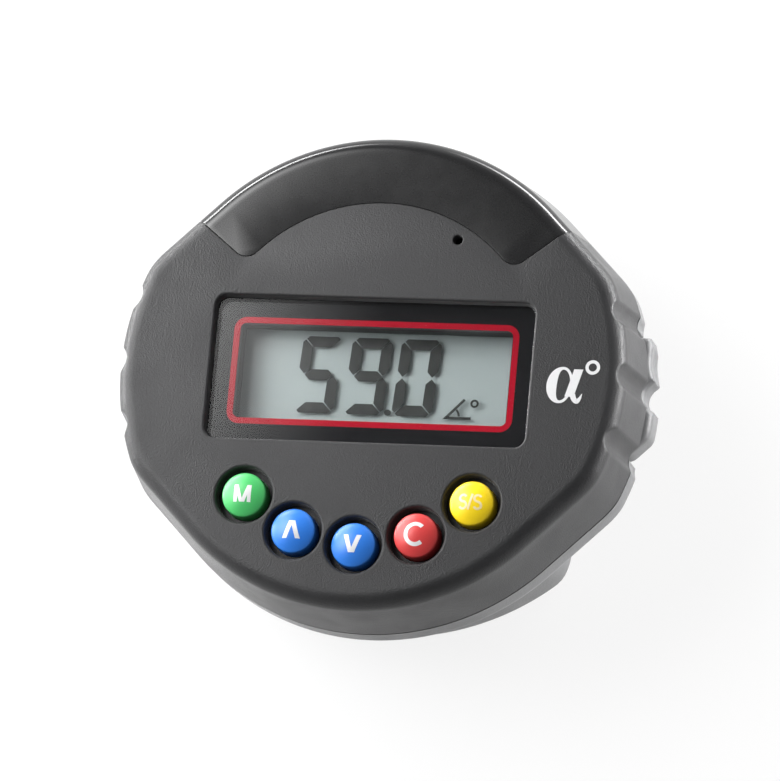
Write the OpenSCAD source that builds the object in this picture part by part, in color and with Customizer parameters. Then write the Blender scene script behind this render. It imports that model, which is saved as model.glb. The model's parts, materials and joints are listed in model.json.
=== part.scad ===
// Torque angle gauge: a hand-sized dial for a wrench that reads the turned angle on a segment display.
// Frame: the gauge lies on its back, +Z out of the face, +Y to the top of the display, millimetres.

/* [Body outline] */
// Radius of the round top and bottom of the case
body_r = 39; // [37:0.5:44]
// Radius across the gripping flanks
flank_r = 41.5; // [40.5:0.5:46]
// Softness of the corner between a shoulder and a flank
corner_blend = 0.8; // [0.3:0.1:2]

/* [Case] */
// Wall of both shells
case_wall = 2; // [1.6:0.1:2.4]
// Depth of the front shell, from the parting line to the face
front_depth = 13; // [12.6:0.1:16]
// Depth of the rear shell, from the parting line to its back
rear_depth = 6; // [5.8:0.1:8]
// Inward lean of the front shell's side
side_lean = 1.2; // [0.6:0.1:2]
// Radius between the side and the face
face_fillet = 2.6; // [2:0.1:3.4]
// Radius between the side and the back of the rear shell
rear_fillet = 2.2; // [1:0.1:3]
// Thickness of the seal in the parting line
seal_h = 0.4; // [0.3:0.05:0.6]
// Setback of the seal behind the bottom of the grip grooves
seal_setback = 0.15; // [0.1:0.05:0.3]

/* [Grip grooves] */
// Radius of a groove
groove_r = 2.6; // [2:0.1:3.2]
// Depth of a groove at the parting line
groove_depth = 0.95; // [0.5:0.05:1.3]
// Distance between the grooves along the flank
groove_pitch = 10.5; // [9.5:0.1:11.5]
// Height of the middle groove above the centre line
groove_mid_y = 0.85; // [-1:0.05:2]

/* [Alarm lens] */
// Inner radius of the crescent lens
lens_r = 26.9; // [26:0.1:28]
// Half angle that the lens spans
lens_half_angle = 51.5; // [48:0.5:54]
// Radius of the lens corners
lens_corner = 2.4; // [1:0.1:3]
// Gap round the lens
lens_gap = 0.12; // [0.08:0.02:0.2]
// Width of the lip that holds the lens under the face
lens_lip = 1.6; // [1:0.1:2]

/* [Display] */
// Width of the window recess
window_w = 51; // [49:0.5:53]
// Height of the window recess
window_h = 23; // [21:0.5:24]
// Corner radius of the window recess
window_corner = 1.8; // [1:0.1:3]
// Depth of the pane below the face
pane_setback = 1.4; // [1:0.1:2]
// Thickness of the pane
pane_t = 1.6; // [1.2:0.1:2]
// Thickness of the printed film behind the pane
mask_t = 0.15; // [0.1:0.05:0.3]
// Width of the opening in the printed film
view_w = 43.4; // [42:0.2:44]
// Height of the opening in the printed film
view_h = 15.2; // [14:0.2:16]
// Thickness of the ledge that carries the pane
ledge_t = 1.3; // [1:0.1:1.6]
// Thickness of the display glass
lcd_t = 2.2; // [1.8:0.1:2.6]
// Margin of the display glass beyond the view
lcd_margin = 1.3; // [1:0.1:1.6]
// Height of the rubber connector strips
zebra_h = 1.6; // [1.4:0.1:2]
// Gap round the pane and the display glass
glass_gap = 0.15; // [0.1:0.05:0.25]

/* [Buttons] */
// Diameter of a button cap
cap_d = 7; // [6:0.1:7.4]
// Diameter of a button well
well_d = 9; // [8.6:0.1:9.6]
// Depth of a button well
well_depth = 2.6; // [2:0.1:3]
// Length of the guide under a well
guide_t = 1.4; // [1.2:0.1:1.8]
// Height of a cap above the face
cap_proud = 1; // [0.9:0.1:1.4]
// Rise of the domed cap
cap_dome = 1.2; // [0.8:0.1:1.6]
// Travel of a button
button_travel = 0.8; // [0.4:0.1:1]
// Radial clearance of a cap in its guide
cap_gap = 0.15; // [0.1:0.05:0.25]
// Radius of the arc that the buttons lie on
button_arc_r = 26; // [25:0.25:27]
// Height of the arc's centre
button_arc_y = -1.8; // [-2.5:0.1:-1]
// Angle between neighbouring buttons
button_step = 22; // [22:0.5:24]

/* [Board] */
// Thickness of the circuit board
pcb_t = 1.6; // [1.2:0.1:2]
// Setback of the board from the outline
pcb_setback = 5.5; // [5:0.1:7]
// Height of a switch under a button
switch_h = 3.2; // [3:0.1:3.6]
// Diameter of the sounder
buzzer_d = 9.5; // [8:0.1:10]
// Diameter of an alarm light
led_d = 3; // [2:0.5:4]

/* [Screws] */
// Diameter of a screw's thread
screw_d = 2; // [1.6:0.1:2.4]
// Diameter of a screw's head
screw_head_d = 4.2; // [3.6:0.1:4.6]
// Height of a screw's head
screw_head_h = 1.5; // [1.2:0.1:1.8]
// Distance of a screw inside the side of the block that covers it
screw_cover = 2.6; // [2.3:0.1:2.9]
// Distance of a screw above and below the centre
screw_y = 16.3; // [16.3:0.1:16.6]
// Diameter of a screw boss
boss_d = 6; // [5.6:0.1:6.4]

/* [Latches] */
// Travel of a latch when it is squeezed
latch_travel = 2; // [1.5:0.1:2.2]
// How far a latch stands out of the flank
latch_proud = 1.4; // [1:0.1:1.8]
// Gap between a latch and the case round it
latch_gap = 0.6; // [0.4:0.1:0.8]
// Width of the slide of a latch
slide_w = 9; // [7:0.5:9.5]
// Width of the hook of a latch
hook_w = 5; // [4:0.2:5.4]
// Reach of the hook into the cover's wall
hook_reach = 0.9; // [0.6:0.1:1.1]
// Wire diameter of a latch spring
latch_wire = 0.5; // [0.4:0.05:0.6]
// Outer diameter of a latch spring
latch_spring_d = 3.2; // [2.8:0.1:3.4]

/* [Battery block] */
// Distance from the end of a cell to the side of the block
block_end_room = 6.15; // [5.75:0.05:7.25]
// Distance from the centre to the block's top and bottom
block_half_l = 35.9; // [35:0.1:36.5]
// Radius of the block's top and bottom arcs
block_arc_r = 41.6; // [40:0.2:46]
// Softness of the block's corners
block_blend = 3; // [1:0.5:5]
// Radius of the block's rear edge
block_fillet = 3.4; // [2.8:0.1:4]
// Wall of the block
block_wall = 1.8; // [1.6:0.1:2]
// Floor of the block
block_floor = 1.5; // [1.2:0.1:2]
// Diameter of a cell
cell_d = 10.5; // [10:0.1:10.7]
// Length of a cell
cell_l = 44.5; // [43:0.1:44.5]
// Distance of a cell from the centre line
cell_y = 9.4; // [9.4:0.1:10]
// Diameter of a magnet
magnet_d = 13; // [10:0.5:14]
// Thickness of a magnet
magnet_t = 3; // [2:0.1:3.4]
// Distance of a magnet to the side of the centre
magnet_x = 12; // [11:0.1:13]
// Distance of a magnet above and below the centre
magnet_y = 23.5; // [23:0.1:24]

/* [Hidden] */
$fn = 64;
ring_n = 90;
// Clearance between pieces that are put together
fit = 0.1;
// Overlap that lets shapes merge or cut cleanly
eps = 0.5;
// A length beyond any size of the body
far = 100;

cell_play = 0.2;
block_h = block_floor + cell_d + cell_play;
block_half_w = cell_l / 2 + block_end_room;
z_case = block_h;
z_part = z_case + rear_depth;
z_face = z_part + front_depth;
z_front = z_part + seal_h / 2;
z_rear = z_part - seal_h / 2;
z_floor = z_case + case_wall;
z_roof = z_face - case_wall;
lip_gap = 0.3;
lip_t = 1;
lip_h = 1.4;
floor_chamfer = 1;
seal_inset = groove_depth + seal_setback;
// Steps in degrees of the rounded edges
face_step = 15;
edge_step = 18;
inner_step = 30;

pcb_lift = 0.4;
z_pcb = z_part + pcb_lift;
z_board = z_pcb + pcb_t;

z_pane = z_face - pane_setback - pane_t;
z_mask = z_pane - mask_t;
z_ledge = z_mask - ledge_t;
tray_wall = 1.6;
lcd_w = view_w + 2 * lcd_margin;
lcd_h = view_h + 2 * lcd_margin;
z_lcd = z_board + zebra_h;
holder_wall = 1.4;
zebra_w = 1.8;
zebra_inset = 0.1;
zebra_end = 1;

button_angles = [-2, -1, 0, 1, 2];
z_well = z_face - well_depth;
z_guide = z_well - guide_t;
flange_w = 0.9;
flange_d = cap_d + 2 * flange_w;
flange_t = 1.2;
flange_play = 0.05;
stem_d = 3.2;
switch_w = 6;
switch_bore = stem_d + 4 * fit;
z_switch = z_board + switch_h;
stem_entry = 0.9;
stem_play = 0.2;
boss_wall = 1.5;

buzzer_pos = [12.2, 21.3];
buzzer_hole_d = 1.5;
buzzer_h = 6.8;
buzzer_port = 1;
led_setback = 9;
led_arc_r = body_r - led_setback;
led_angles = [48, 90, 132];
led_h = 4.6;
led_rim = 0.4;
led_base_h = 0.8;
chip_w = 9;
chip_h = 1.2;
gyro_w = 5;
gyro_pos = [-8, 17];
lip_end_angle = 8;

pilot_play = 0.03;
pilot_depth = 6;
screw_tip = 0.5;
head_recess = 0.6;
screw_l = z_board + pilot_depth - screw_tip - z_case - head_recess;
screw_x = block_half_w - screw_cover;
screw_places = [for (sx = [-1, 1]) for (sy = [-1, 1]) [sx * screw_x, sy * screw_y]];
cross_w = 0.6;
cross_l = 2.5;
cross_depth = 0.7;

groove_places = [for (k = [-1, 0, 1]) groove_mid_y + k * groove_pitch];
latch_r = flank_r + latch_proud;
latch_end_gap = 1;
latch_y0 = groove_mid_y - groove_pitch + latch_end_gap;
latch_y1 = groove_mid_y + groove_pitch - latch_end_gap;
latch_mid_y = (latch_y0 + latch_y1) / 2;
latch_lift = 0.2;
latch_z0 = z_case + latch_lift;
latch_z1 = z_part - latch_gap;
latch_flange_t = 1.8;
flange_over = 1.3;
flange_end_y = max(abs(latch_y0), abs(latch_y1)) + latch_gap + flange_over;
latch_stop_gap = 0.2;
latch_x1 = sqrt(pow(flank_r - case_wall, 2) - pow(flange_end_y, 2)) - latch_stop_gap;
latch_x0 = latch_x1 - latch_flange_t;
tab_root = 0.4;
tab_x0 = latch_x1 - tab_root;
slide_gap = 0.25;
slide_z0 = z_floor + slide_gap;
slide_top_gap = 1;
slide_z1 = z_part - slide_top_gap;
leg_t = 2;
leg_gap = 0.2;
leg_x1 = block_half_w - block_wall - leg_gap;
leg_x0 = leg_x1 - leg_t;
hook_y0 = latch_mid_y - hook_w / 2;
hook_y1 = latch_mid_y + hook_w / 2;
slide_y0 = latch_mid_y - slide_w / 2;
hook_drop = 4.4;
hook_z = block_h - hook_drop;
hook_h = 1.8;
hook_play = 0.4;
stop_over = 0.6;
spring_y = slide_w / 2 + slide_gap + latch_spring_d / 2 + stop_over;
spring_lift = 0.15;
spring_z = z_floor + latch_spring_d / 2 + spring_lift;
spring_len = 4.2;
spring_x0 = latch_x0 - spring_len;
stop_t = 1.6;
dimple_r = 7;
dimple_depth = 0.6;

contact_t = 0.4;
contact_gap = 1.35;
contact_w = 7.6;
contact_x = cell_l / 2 + contact_gap;
contact_wire = 0.5;
contact_coil_d = 5;
pin_d = 1.2;
cell_nub_d = 3.8;
cell_nub_l = 1.2;
cell_z = block_floor + cell_d / 2 + cell_play / 2;
saddle_x = 14;
saddle_t = 1.6;
saddle_h = 3.4;
magnet_places = [for (sx = [-1, 1]) for (sy = [-1, 1]) [sx * magnet_x, sy * magnet_y]];
magnet_sink = 0.15;

// Smooth lower envelope of two radii
function soft_min(a, b, k) = min(a, b) - pow(max(k - abs(a - b), 0), 2) / (4 * k);

// Case outline: round top and bottom, straight shoulders at 45 degrees, round flanks
function case_r(a, inset) =
    let (c = abs(cos(a)), s = abs(sin(a)), r = body_r - inset)
    s > c ? r : soft_min(flank_r - inset, r * sqrt(2) / (c + s), corner_blend);

// Block outline: straight sides between a top and a bottom arc
function block_r(a, inset) =
    let (c = abs(cos(a)), s = abs(sin(a)), e = block_arc_r - block_half_l, r = block_arc_r - inset)
    let (side = (block_half_w - inset) / max(c, 0.001), arc = sqrt(pow(e * s, 2) - e * e + r * r) - e * s)
    soft_min(side, arc, block_blend);

function on_ring(k) = 360 * k / ring_n;
function case_ring(inset, z) =
    [for (k = [0:ring_n - 1]) let (a = on_ring(k), r = case_r(a, inset)) [r * cos(a), r * sin(a), z]];
function block_ring(inset, z) =
    [for (k = [0:ring_n - 1]) let (a = on_ring(k), r = block_r(a, inset)) [r * cos(a), r * sin(a), z]];
function flat(ring) = [for (p = ring) [p.x, p.y]];
function centre(ring, i = 0) = i < len(ring) ? ring[i] / len(ring) + centre(ring, i + 1) : [0, 0, 0];

// Side profile of a rounded edge as pairs of inset and height, from the wall to the flat
function edge_profile(inset, z, r, up, step) =
    [for (a = [step:step:90]) [inset + r * (1 - cos(a)), z + up * r * sin(a)]];

function reversed(list) = [for (i = [len(list) - 1:-1:0]) list[i]];

function button_place(i) =
    [button_arc_r * sin(i * button_step), button_arc_y - button_arc_r * cos(i * button_step)];

// Skin over a stack of rings that all run the same way round
module loft(rings) {
    n = len(rings[0]);
    m = len(rings);
    sides = [for (j = [0:m - 2]) for (k = [0:n - 1])
        let (a = j * n + k, b = j * n + (k + 1) % n)
        each [[a, a + n, b + n], [a, b + n, b]]];
    low = m * n;
    caps = [for (k = [0:n - 1])
        let (b = (k + 1) % n, top = (m - 1) * n)
        each [[low, k, b], [low + 1, top + b, top + k]]];
    polyhedron(points = concat([for (ring = rings) each ring], [centre(rings[0]), centre(rings[m - 1])]),
               faces = concat(caps, sides));
}

// Plate with round corners
module round_plate(w, h, r) {
    square([w - 2 * r, h], center = true);
    square([w, h - 2 * r], center = true);
    for (sx = [-1, 1])
        for (sy = [-1, 1])
            translate([sx * (w / 2 - r), sy * (h / 2 - r)])
                circle(r = r);
}

module bar(x0, x1, y0, y1, z0, z1) {
    translate([x0, y0, z0])
        cube([x1 - x0, y1 - y0, z1 - z0]);
}

// Wire coil along X
module coil_x(x0, length, d, wire, turns) {
    steps = 12;
    sides = 6;
    r = (d - wire) / 2;
    pitch = (length - wire) / turns;
    rings = [for (i = [0:turns * steps])
        let (a = 360 * i / steps, x = x0 + wire / 2 + pitch * i / steps)
        [for (k = [0:sides - 1])
            let (b = -360 * k / sides, q = r + wire / 2 * cos(b))
            [x + wire / 2 * sin(b), q * cos(a), q * sin(a)]]];
    loft(rings);
}

// Front shell as one skin: down the inside from the roof, round the rim, and up the outside to the face
module front_shell() {
    inner_r = max(face_fillet - case_wall, eps);
    inner_lean = side_lean + case_wall;
    inner_arc = edge_profile(inner_lean, z_roof - inner_r, inner_r, 1, inner_step);
    profile = concat(reversed(inner_arc),
                     [[inner_lean, z_roof - inner_r], [case_wall, z_front], [0, z_front]],
                     [[side_lean, z_face - face_fillet]],
                     edge_profile(side_lean, z_face - face_fillet, face_fillet, 1, face_step));
    loft([for (p = profile) case_ring(p[0], p[1])]);
}

// Rear shell as one skin: up the outside, over the lip that centres the front shell, and down inside
module rear_shell() {
    lip_out = case_wall + lip_gap;
    lip_in = lip_out + lip_t;
    profile = concat(reversed(edge_profile(0, z_case + rear_fillet, rear_fillet, -1, edge_step)),
                     [[0, z_case + rear_fillet], [0, z_rear], [lip_out, z_rear], [lip_out, z_part + lip_h]],
                     [[lip_in, z_part + lip_h], [lip_in, z_floor + floor_chamfer]],
                     [[lip_in + floor_chamfer, z_floor]]);
    loft([for (p = profile) case_ring(p[0], p[1])]);
}

// Plan of the alarm lens, grown by a gap
module lens_plan(grow) {
    side = lens_half_angle;
    offset(r = lens_corner + grow)
        offset(delta = -lens_corner)
            difference() {
                polygon([[0, 0], [-far * sin(side), far * cos(side)], [-far * sin(side), far],
                         [far * sin(side), far], [far * sin(side), far * cos(side)]]);
                circle(r = lens_r);
            }
}

// Grip grooves of both flanks from the parting line up or down, leaning with the side
module groove_cuts(lean, height) {
    axis_r = flank_r - groove_depth + groove_r;
    for (side = [0, 1])
        mirror([side, 0, 0])
            for (y = groove_places)
                rotate([0, 0, asin(y / flank_r)])
                    translate([axis_r, 0, z_part])
                        rotate([0, -lean, 0])
                            translate([0, 0, min(height, 0) - eps])
                                cylinder(r = groove_r, h = abs(height) + 2 * eps);
}

module front_case() {
    color("#3f4143")
    difference() {
        union() {
            front_shell();
            // Tray of the display window
            translate([0, 0, z_ledge])
                linear_extrude(z_roof + eps - z_ledge)
                    round_plate(window_w + 2 * tray_wall, window_h + 2 * tray_wall,
                                window_corner + tray_wall);
            // Button guides
            for (i = button_angles)
                translate([for (p = button_place(i)) p])
                    translate([0, 0, z_guide])
                        cylinder(d = well_d + 2 * boss_wall, h = z_roof + eps - z_guide);
            // Screw posts
            for (p = screw_places)
                translate([p.x, p.y, z_board])
                    cylinder(d = boss_d, h = z_roof + eps - z_board);
        }
        // Window recess and view
        translate([0, 0, z_mask])
            linear_extrude(far)
                round_plate(window_w, window_h, window_corner);
        translate([0, 0, z_ledge - eps])
            linear_extrude(far)
                square([view_w + 2 * fit, view_h + 2 * fit], center = true);
        // Button wells and guide bores
        for (i = button_angles)
            translate([for (p = button_place(i)) p]) {
                translate([0, 0, z_well])
                    cylinder(d = well_d, h = far);
                translate([0, 0, z_guide - eps])
                    cylinder(d = cap_d + 2 * cap_gap, h = far);
            }
        // Sound hole
        translate([buzzer_pos.x, buzzer_pos.y, z_roof - eps])
            cylinder(d = buzzer_hole_d, h = far, $fn = 32);
        // Screw pilot holes
        for (p = screw_places)
            translate([p.x, p.y, z_board - eps])
                cylinder(d = screw_d + 2 * pilot_play, h = pilot_depth + eps, $fn = 32);
        // Place of the alarm lens
        translate([0, 0, z_front - eps])
            linear_extrude(far)
                lens_plan(lens_gap);
        groove_cuts(atan(side_lean / (front_depth - face_fillet)), front_depth);
    }
}

// Ring segment under the lens, from an inner radius out and up to a height
module lens_band(r, z) {
    half = lens_half_angle - lip_end_angle;
    reach = far * [sin(half), cos(half)];
    outer_r = lens_r + 2 * lens_lip;
    z0 = z_roof - lens_lip;
    translate([0, 0, z0])
        linear_extrude(z - z0)
            difference() {
                intersection() {
                    circle(r = outer_r, $fn = 128);
                    polygon([[0, 0], [-reach.x, reach.y], reach]);
                }
                circle(r = r, $fn = 128);
            }
}

module alarm_lens() {
    color("#2b2d2f")
    union() {
        intersection() {
            front_shell();
            translate([0, 0, z_front - eps])
                linear_extrude(far)
                    lens_plan(0);
        }
        // Lip under the edge of the face, and the web that carries it
        lens_band(lens_r - lens_lip, z_roof - fit / 2);
        lens_band(lens_r + lens_lip, z_roof + eps);
    }
}

module display_window() {
    color([0.85, 0.9, 0.9, 0.3])
    translate([0, 0, z_pane])
        linear_extrude(pane_t)
            round_plate(window_w - 2 * glass_gap, window_h - 2 * glass_gap, window_corner - glass_gap);
}

module window_mask() {
    color("#0c0c0d")
    translate([0, 0, z_mask])
        linear_extrude(mask_t)
            difference() {
                round_plate(window_w - 2 * glass_gap, window_h - 2 * glass_gap, window_corner - glass_gap);
                square([view_w, view_h], center = true);
            }
}

module lcd_panel() {
    color("#a9b0a4")
    translate([0, 0, z_lcd])
        linear_extrude(lcd_t)
            square([lcd_w, lcd_h], center = true);
}

module lcd_holder() {
    color("#1a1a1b")
    difference() {
        translate([0, 0, z_board])
            linear_extrude(z_ledge - z_board)
                square([lcd_w + 2 * holder_wall, lcd_h + 2 * holder_wall], center = true);
        translate([0, 0, z_board - eps])
            linear_extrude(z_lcd + lcd_t - z_board + eps)
                square([lcd_w + 2 * glass_gap, lcd_h + 2 * glass_gap], center = true);
        translate([0, 0, z_board])
            linear_extrude(far)
                square([view_w + 2 * fit, view_h + 2 * fit], center = true);
    }
}

module zebra_strips() {
    color("#3a3a3c")
    for (side = [-1, 1])
        translate([0, side * (lcd_h / 2 - zebra_inset - zebra_w / 2), z_board + zebra_h / 2])
            cube([lcd_w - 2 * zebra_end, zebra_w, zebra_h], center = true);
}

module main_pcb() {
    color("#1f5a35")
    translate([0, 0, z_pcb])
        linear_extrude(pcb_t)
            difference() {
                polygon(flat(case_ring(pcb_setback, 0)));
                for (p = screw_places)
                    translate(p)
                        circle(d = screw_d + 4 * fit, $fn = 32);
            }
}

module controller_chip() {
    color("#161617")
    translate([0, 0, z_board + chip_h / 2])
        cube([chip_w, chip_w, chip_h], center = true);
}

module gyro_chip() {
    color("#161617")
    translate([gyro_pos.x, gyro_pos.y, z_board + chip_h / 2])
        cube([gyro_w, gyro_w, chip_h], center = true);
}

module alarm_leds() {
    color("#c8322c")
    for (a = led_angles)
        translate([led_arc_r * cos(a), led_arc_r * sin(a), z_board]) {
            cylinder(d = led_d + 2 * led_rim, h = led_base_h, $fn = 32);
            cylinder(d = led_d, h = led_h - led_d / 2, $fn = 32);
            translate([0, 0, led_h - led_d / 2])
                sphere(d = led_d, $fn = 32);
        }
}

module buzzer() {
    color("#121213")
    translate([buzzer_pos.x, buzzer_pos.y, z_board])
        difference() {
            cylinder(d = buzzer_d, h = buzzer_h);
            translate([0, 0, buzzer_h - buzzer_port])
                cylinder(d = buzzer_hole_d, h = 2 * buzzer_port, $fn = 32);
        }
}

module key_switches() {
    color("#8d9092")
    for (i = button_angles)
        translate([for (p = button_place(i)) p])
            difference() {
                translate([-switch_w / 2, -switch_w / 2, z_board])
                    cube([switch_w, switch_w, switch_h]);
                translate([0, 0, z_switch - stem_entry - button_travel - stem_play])
                    cylinder(d = switch_bore, h = far);
            }
}

// Button: domed cap, flange that stops under the guide, stem into the switch
module button(i, tint) {
    top = z_face + cap_proud;
    dome_r = (pow(cap_d / 2, 2) + cap_dome * cap_dome) / (2 * cap_dome);
    z_flange = z_guide - flange_play - flange_t;
    color(tint)
    translate([for (p = button_place(i)) p])
        rotate_extrude() {
            intersection() {
                translate([0, z_flange])
                    square([cap_d / 2, top - z_flange]);
                union() {
                    translate([0, z_flange])
                        square([cap_d / 2, top - cap_dome - z_flange]);
                    translate([0, top - dome_r])
                        circle(r = dome_r, $fn = 128);
                }
            }
            translate([0, z_flange])
                square([flange_d / 2, flange_t]);
            translate([0, z_switch - stem_entry])
                square([stem_d / 2, z_flange + eps - (z_switch - stem_entry)]);
        }
}

module mode_button() {
    button(-2, "#1f8f45");
}

module up_button() {
    button(-1, "#2a6fd0");
}

module down_button() {
    button(0, "#2a6fd0");
}

module clear_button() {
    button(1, "#cf3a37");
}

module start_button() {
    button(2, "#f0b90c");
}

module case_gasket() {
    color("#0e0e0f")
    translate([0, 0, z_rear])
        linear_extrude(seal_h)
            difference() {
                polygon(flat(case_ring(seal_inset, 0)));
                polygon(flat(case_ring(case_wall, 0)));
            }
}

module rear_case() {
    color("#6b6d70")
    difference() {
        union() {
            rear_shell();
            // Screw bosses
            for (p = screw_places)
                translate([p.x, p.y, z_case])
                    cylinder(d = boss_d, h = z_pcb - z_case);
            // Stops that guide the latch slides and carry their springs
            stop_half = latch_spring_d / 2 + stop_over;
            for (side = [0, 1])
                mirror([side, 0, 0])
                    for (up = [-1, 1])
                        translate([0, latch_mid_y + up * spring_y, 0])
                            bar(spring_x0 - stop_t, spring_x0, -stop_half, stop_half,
                                z_floor - eps, spring_z + latch_spring_d / 2);
        }
        groove_cuts(0, -rear_depth);
        // Openings for the latch tabs and their hooks
        for (side = [0, 1])
            mirror([side, 0, 0]) {
                bar(tab_x0 - latch_travel - hook_play, far, latch_y0 - latch_gap, latch_y1 + latch_gap,
                    z_case - eps, far);
                bar(leg_x0 - latch_travel - hook_play, leg_x1 + hook_play,
                    hook_y0 - hook_play, hook_y1 + hook_play, z_case - eps, z_floor + eps);
                bar(latch_x0 - latch_travel - hook_play, latch_x1 + latch_stop_gap,
                    2 * latch_mid_y - flange_end_y - hook_play, flange_end_y + hook_play,
                    slide_z0 - slide_gap / 2, far);
            }
        // Screw holes with recessed heads
        for (p = screw_places)
            translate([p.x, p.y, 0]) {
                translate([0, 0, z_case - eps])
                    cylinder(d = screw_head_d + 4 * fit, h = head_recess + screw_head_h + eps, $fn = 32);
                translate([0, 0, z_case - eps])
                    cylinder(d = screw_d + 4 * fit, h = far, $fn = 32);
            }
        // Holes for the contact pins
        for (side = [-1, 1])
            translate([side * contact_x, cell_y, z_case - eps])
                cylinder(d = pin_d + fit, h = case_wall + 2 * eps, $fn = 32);
    }
}

module case_screws() {
    color("#b9bcc0")
    for (p = screw_places)
        translate([p.x, p.y, z_case + head_recess])
            difference() {
                union() {
                    cylinder(d = screw_head_d, h = screw_head_h, $fn = 32);
                    cylinder(d = screw_d, h = screw_l, $fn = 32);
                }
                // Cross recess of the head
                for (turn = [0, 90])
                    rotate([0, 0, turn])
                        cube([cross_l, cross_w, 2 * cross_depth], center = true);
            }
}

// Squeeze latch of the right flank: thumb tab, slide, and a hook that reaches into the cover's wall
module latch() {
    corner = 1.4;
    mid_a = asin(groove_mid_y / flank_r);
    groove_axis = latch_r - groove_depth - latch_proud / 2 + groove_r;
    dimple_a = asin((groove_mid_y + groove_pitch / 2) / flank_r);
    difference() {
        union() {
            translate([0, 0, latch_z0])
                linear_extrude(latch_z1 - latch_z0)
                    offset(r = corner)
                        offset(delta = -corner)
                            intersection() {
                                circle(r = latch_r, $fn = 180);
                                translate([tab_x0, latch_y0])
                                    square([far, latch_y1 - latch_y0]);
                            }
            bar(latch_x0, latch_x1, -flange_end_y + 2 * latch_mid_y, flange_end_y, slide_z0, slide_z1);
            bar(leg_x0, latch_x0 + eps, slide_y0, slide_y0 + slide_w, slide_z0, slide_z1);
            bar(leg_x0, leg_x1, hook_y0, hook_y1, hook_z, slide_z0 + eps);
            bar(leg_x0, leg_x1 + leg_gap + hook_reach, hook_y0, hook_y1, hook_z, hook_z + hook_h);
        }
        translate([groove_axis * cos(mid_a), groove_axis * sin(mid_a), z_case - eps])
            cylinder(r = groove_r, h = far);
        rotate([0, 0, dimple_a])
            translate([latch_r + dimple_r - dimple_depth, 0, (latch_z0 + latch_z1) / 2])
                sphere(r = dimple_r);
    }
}

module right_latch() {
    color("#77797c")
        latch();
}

module left_latch() {
    color("#77797c")
        mirror([1, 0, 0])
            latch();
}

module latch_spring_pair() {
    for (up = [-1, 1])
        translate([0, latch_mid_y + up * spring_y, spring_z])
            coil_x(spring_x0 + fit / 2, spring_len - fit, latch_spring_d, latch_wire, 4);
}

module right_latch_spring() {
    color("#c3c6ca")
        latch_spring_pair();
}

module left_latch_spring() {
    color("#c3c6ca")
        mirror([1, 0, 0])
            latch_spring_pair();
}

// Battery block as one skin: up the outside from the rear edge, over the rim, and down to the floor
module block_shell() {
    r = block_fillet - block_wall;
    profile = concat(reversed(edge_profile(0, block_fillet, block_fillet, -1, edge_step)),
                     [[0, block_fillet], [0, block_h], [block_wall, block_h]],
                     [[block_wall, block_floor + r]],
                     edge_profile(block_wall, block_floor + r, r, -1, inner_step));
    loft([for (p = profile) block_ring(p[0], p[1])]);
}

module battery_cover() {
    color("#8f9194")
    difference() {
        union() {
            block_shell();
            // Saddles under the cells
            for (x = [-saddle_x, saddle_x])
                bar(x - saddle_t / 2, x + saddle_t / 2, -cell_y - cell_d / 2, cell_y + cell_d / 2,
                    block_floor - eps, block_floor + saddle_h);
            // Ribs behind the cell contacts
            for (sx = [-1, 1])
                for (sy = [-1, 1])
                    translate([sx * contact_x, sy * cell_y, 0])
                        mirror([sx < 0 ? 1 : 0, 0, 0])
                            bar(contact_t, block_half_w - block_wall + eps - contact_x,
                                -contact_w / 2, contact_w / 2, block_floor - eps, cell_z + 2);
            // Cups of the magnets
            for (p = magnet_places)
                translate([p.x, p.y, eps])
                    cylinder(d = magnet_d + 2 * block_wall, h = magnet_t + magnet_sink + block_floor - eps);
        }
        for (sy = [-1, 1])
            translate([-saddle_x - saddle_t, sy * cell_y, cell_z])
                rotate([0, 90, 0])
                    cylinder(d = cell_d + 2 * fit, h = 2 * saddle_x + 2 * saddle_t);
        for (p = magnet_places)
            translate([p.x, p.y, -eps])
                cylinder(d = magnet_d + fit, h = magnet_t + magnet_sink + eps);
        // Notches that take the latch hooks
        for (side = [0, 1])
            mirror([side, 0, 0])
                bar(leg_x1 - eps, leg_x1 + leg_gap + hook_reach + hook_play,
                    hook_y0 - hook_play, hook_y1 + hook_play,
                    hook_z - hook_play, hook_z + hook_h + hook_play);
    }
}

module battery_cells() {
    color("#3c6e9e")
    for (side = [-1, 1])
        translate([0, side * cell_y, cell_z])
            rotate([0, side * 90, 0]) {
                translate([0, 0, -cell_l / 2])
                    cylinder(d = cell_d, h = cell_l - cell_nub_l);
                translate([0, 0, cell_l / 2 - cell_nub_l - eps])
                    cylinder(d = cell_nub_d, h = cell_nub_l + eps);
            }
}

module battery_contacts() {
    color("#d0b060")
    for (sx = [-1, 1])
        for (sy = [-1, 1])
            translate([0, sy * cell_y, 0])
                mirror([sx < 0 ? 1 : 0, 0, 0]) {
                    bar(contact_x, contact_x + contact_t, -contact_w / 2, contact_w / 2,
                        block_floor, block_h);
                    translate([0, 0, cell_z])
                        if (sx == sy)
                            translate([cell_l / 2 + fit / 2, 0, 0])
                                rotate([0, 90, 0])
                                    cylinder(d = cell_nub_d, h = contact_gap);
                        else
                            coil_x(cell_l / 2 + fit / 2, contact_gap + fit, contact_coil_d, contact_wire, 2);
                }
}

module contact_pins() {
    color("#d0b060")
    for (side = [-1, 1])
        translate([side * contact_x, cell_y, block_h])
            cylinder(d = pin_d, h = z_pcb - block_h, $fn = 32);
}

module mount_magnets() {
    color("#a8abae")
    for (p = magnet_places)
        translate([p.x, p.y, magnet_sink])
            cylinder(d = magnet_d, h = magnet_t);
}

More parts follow.
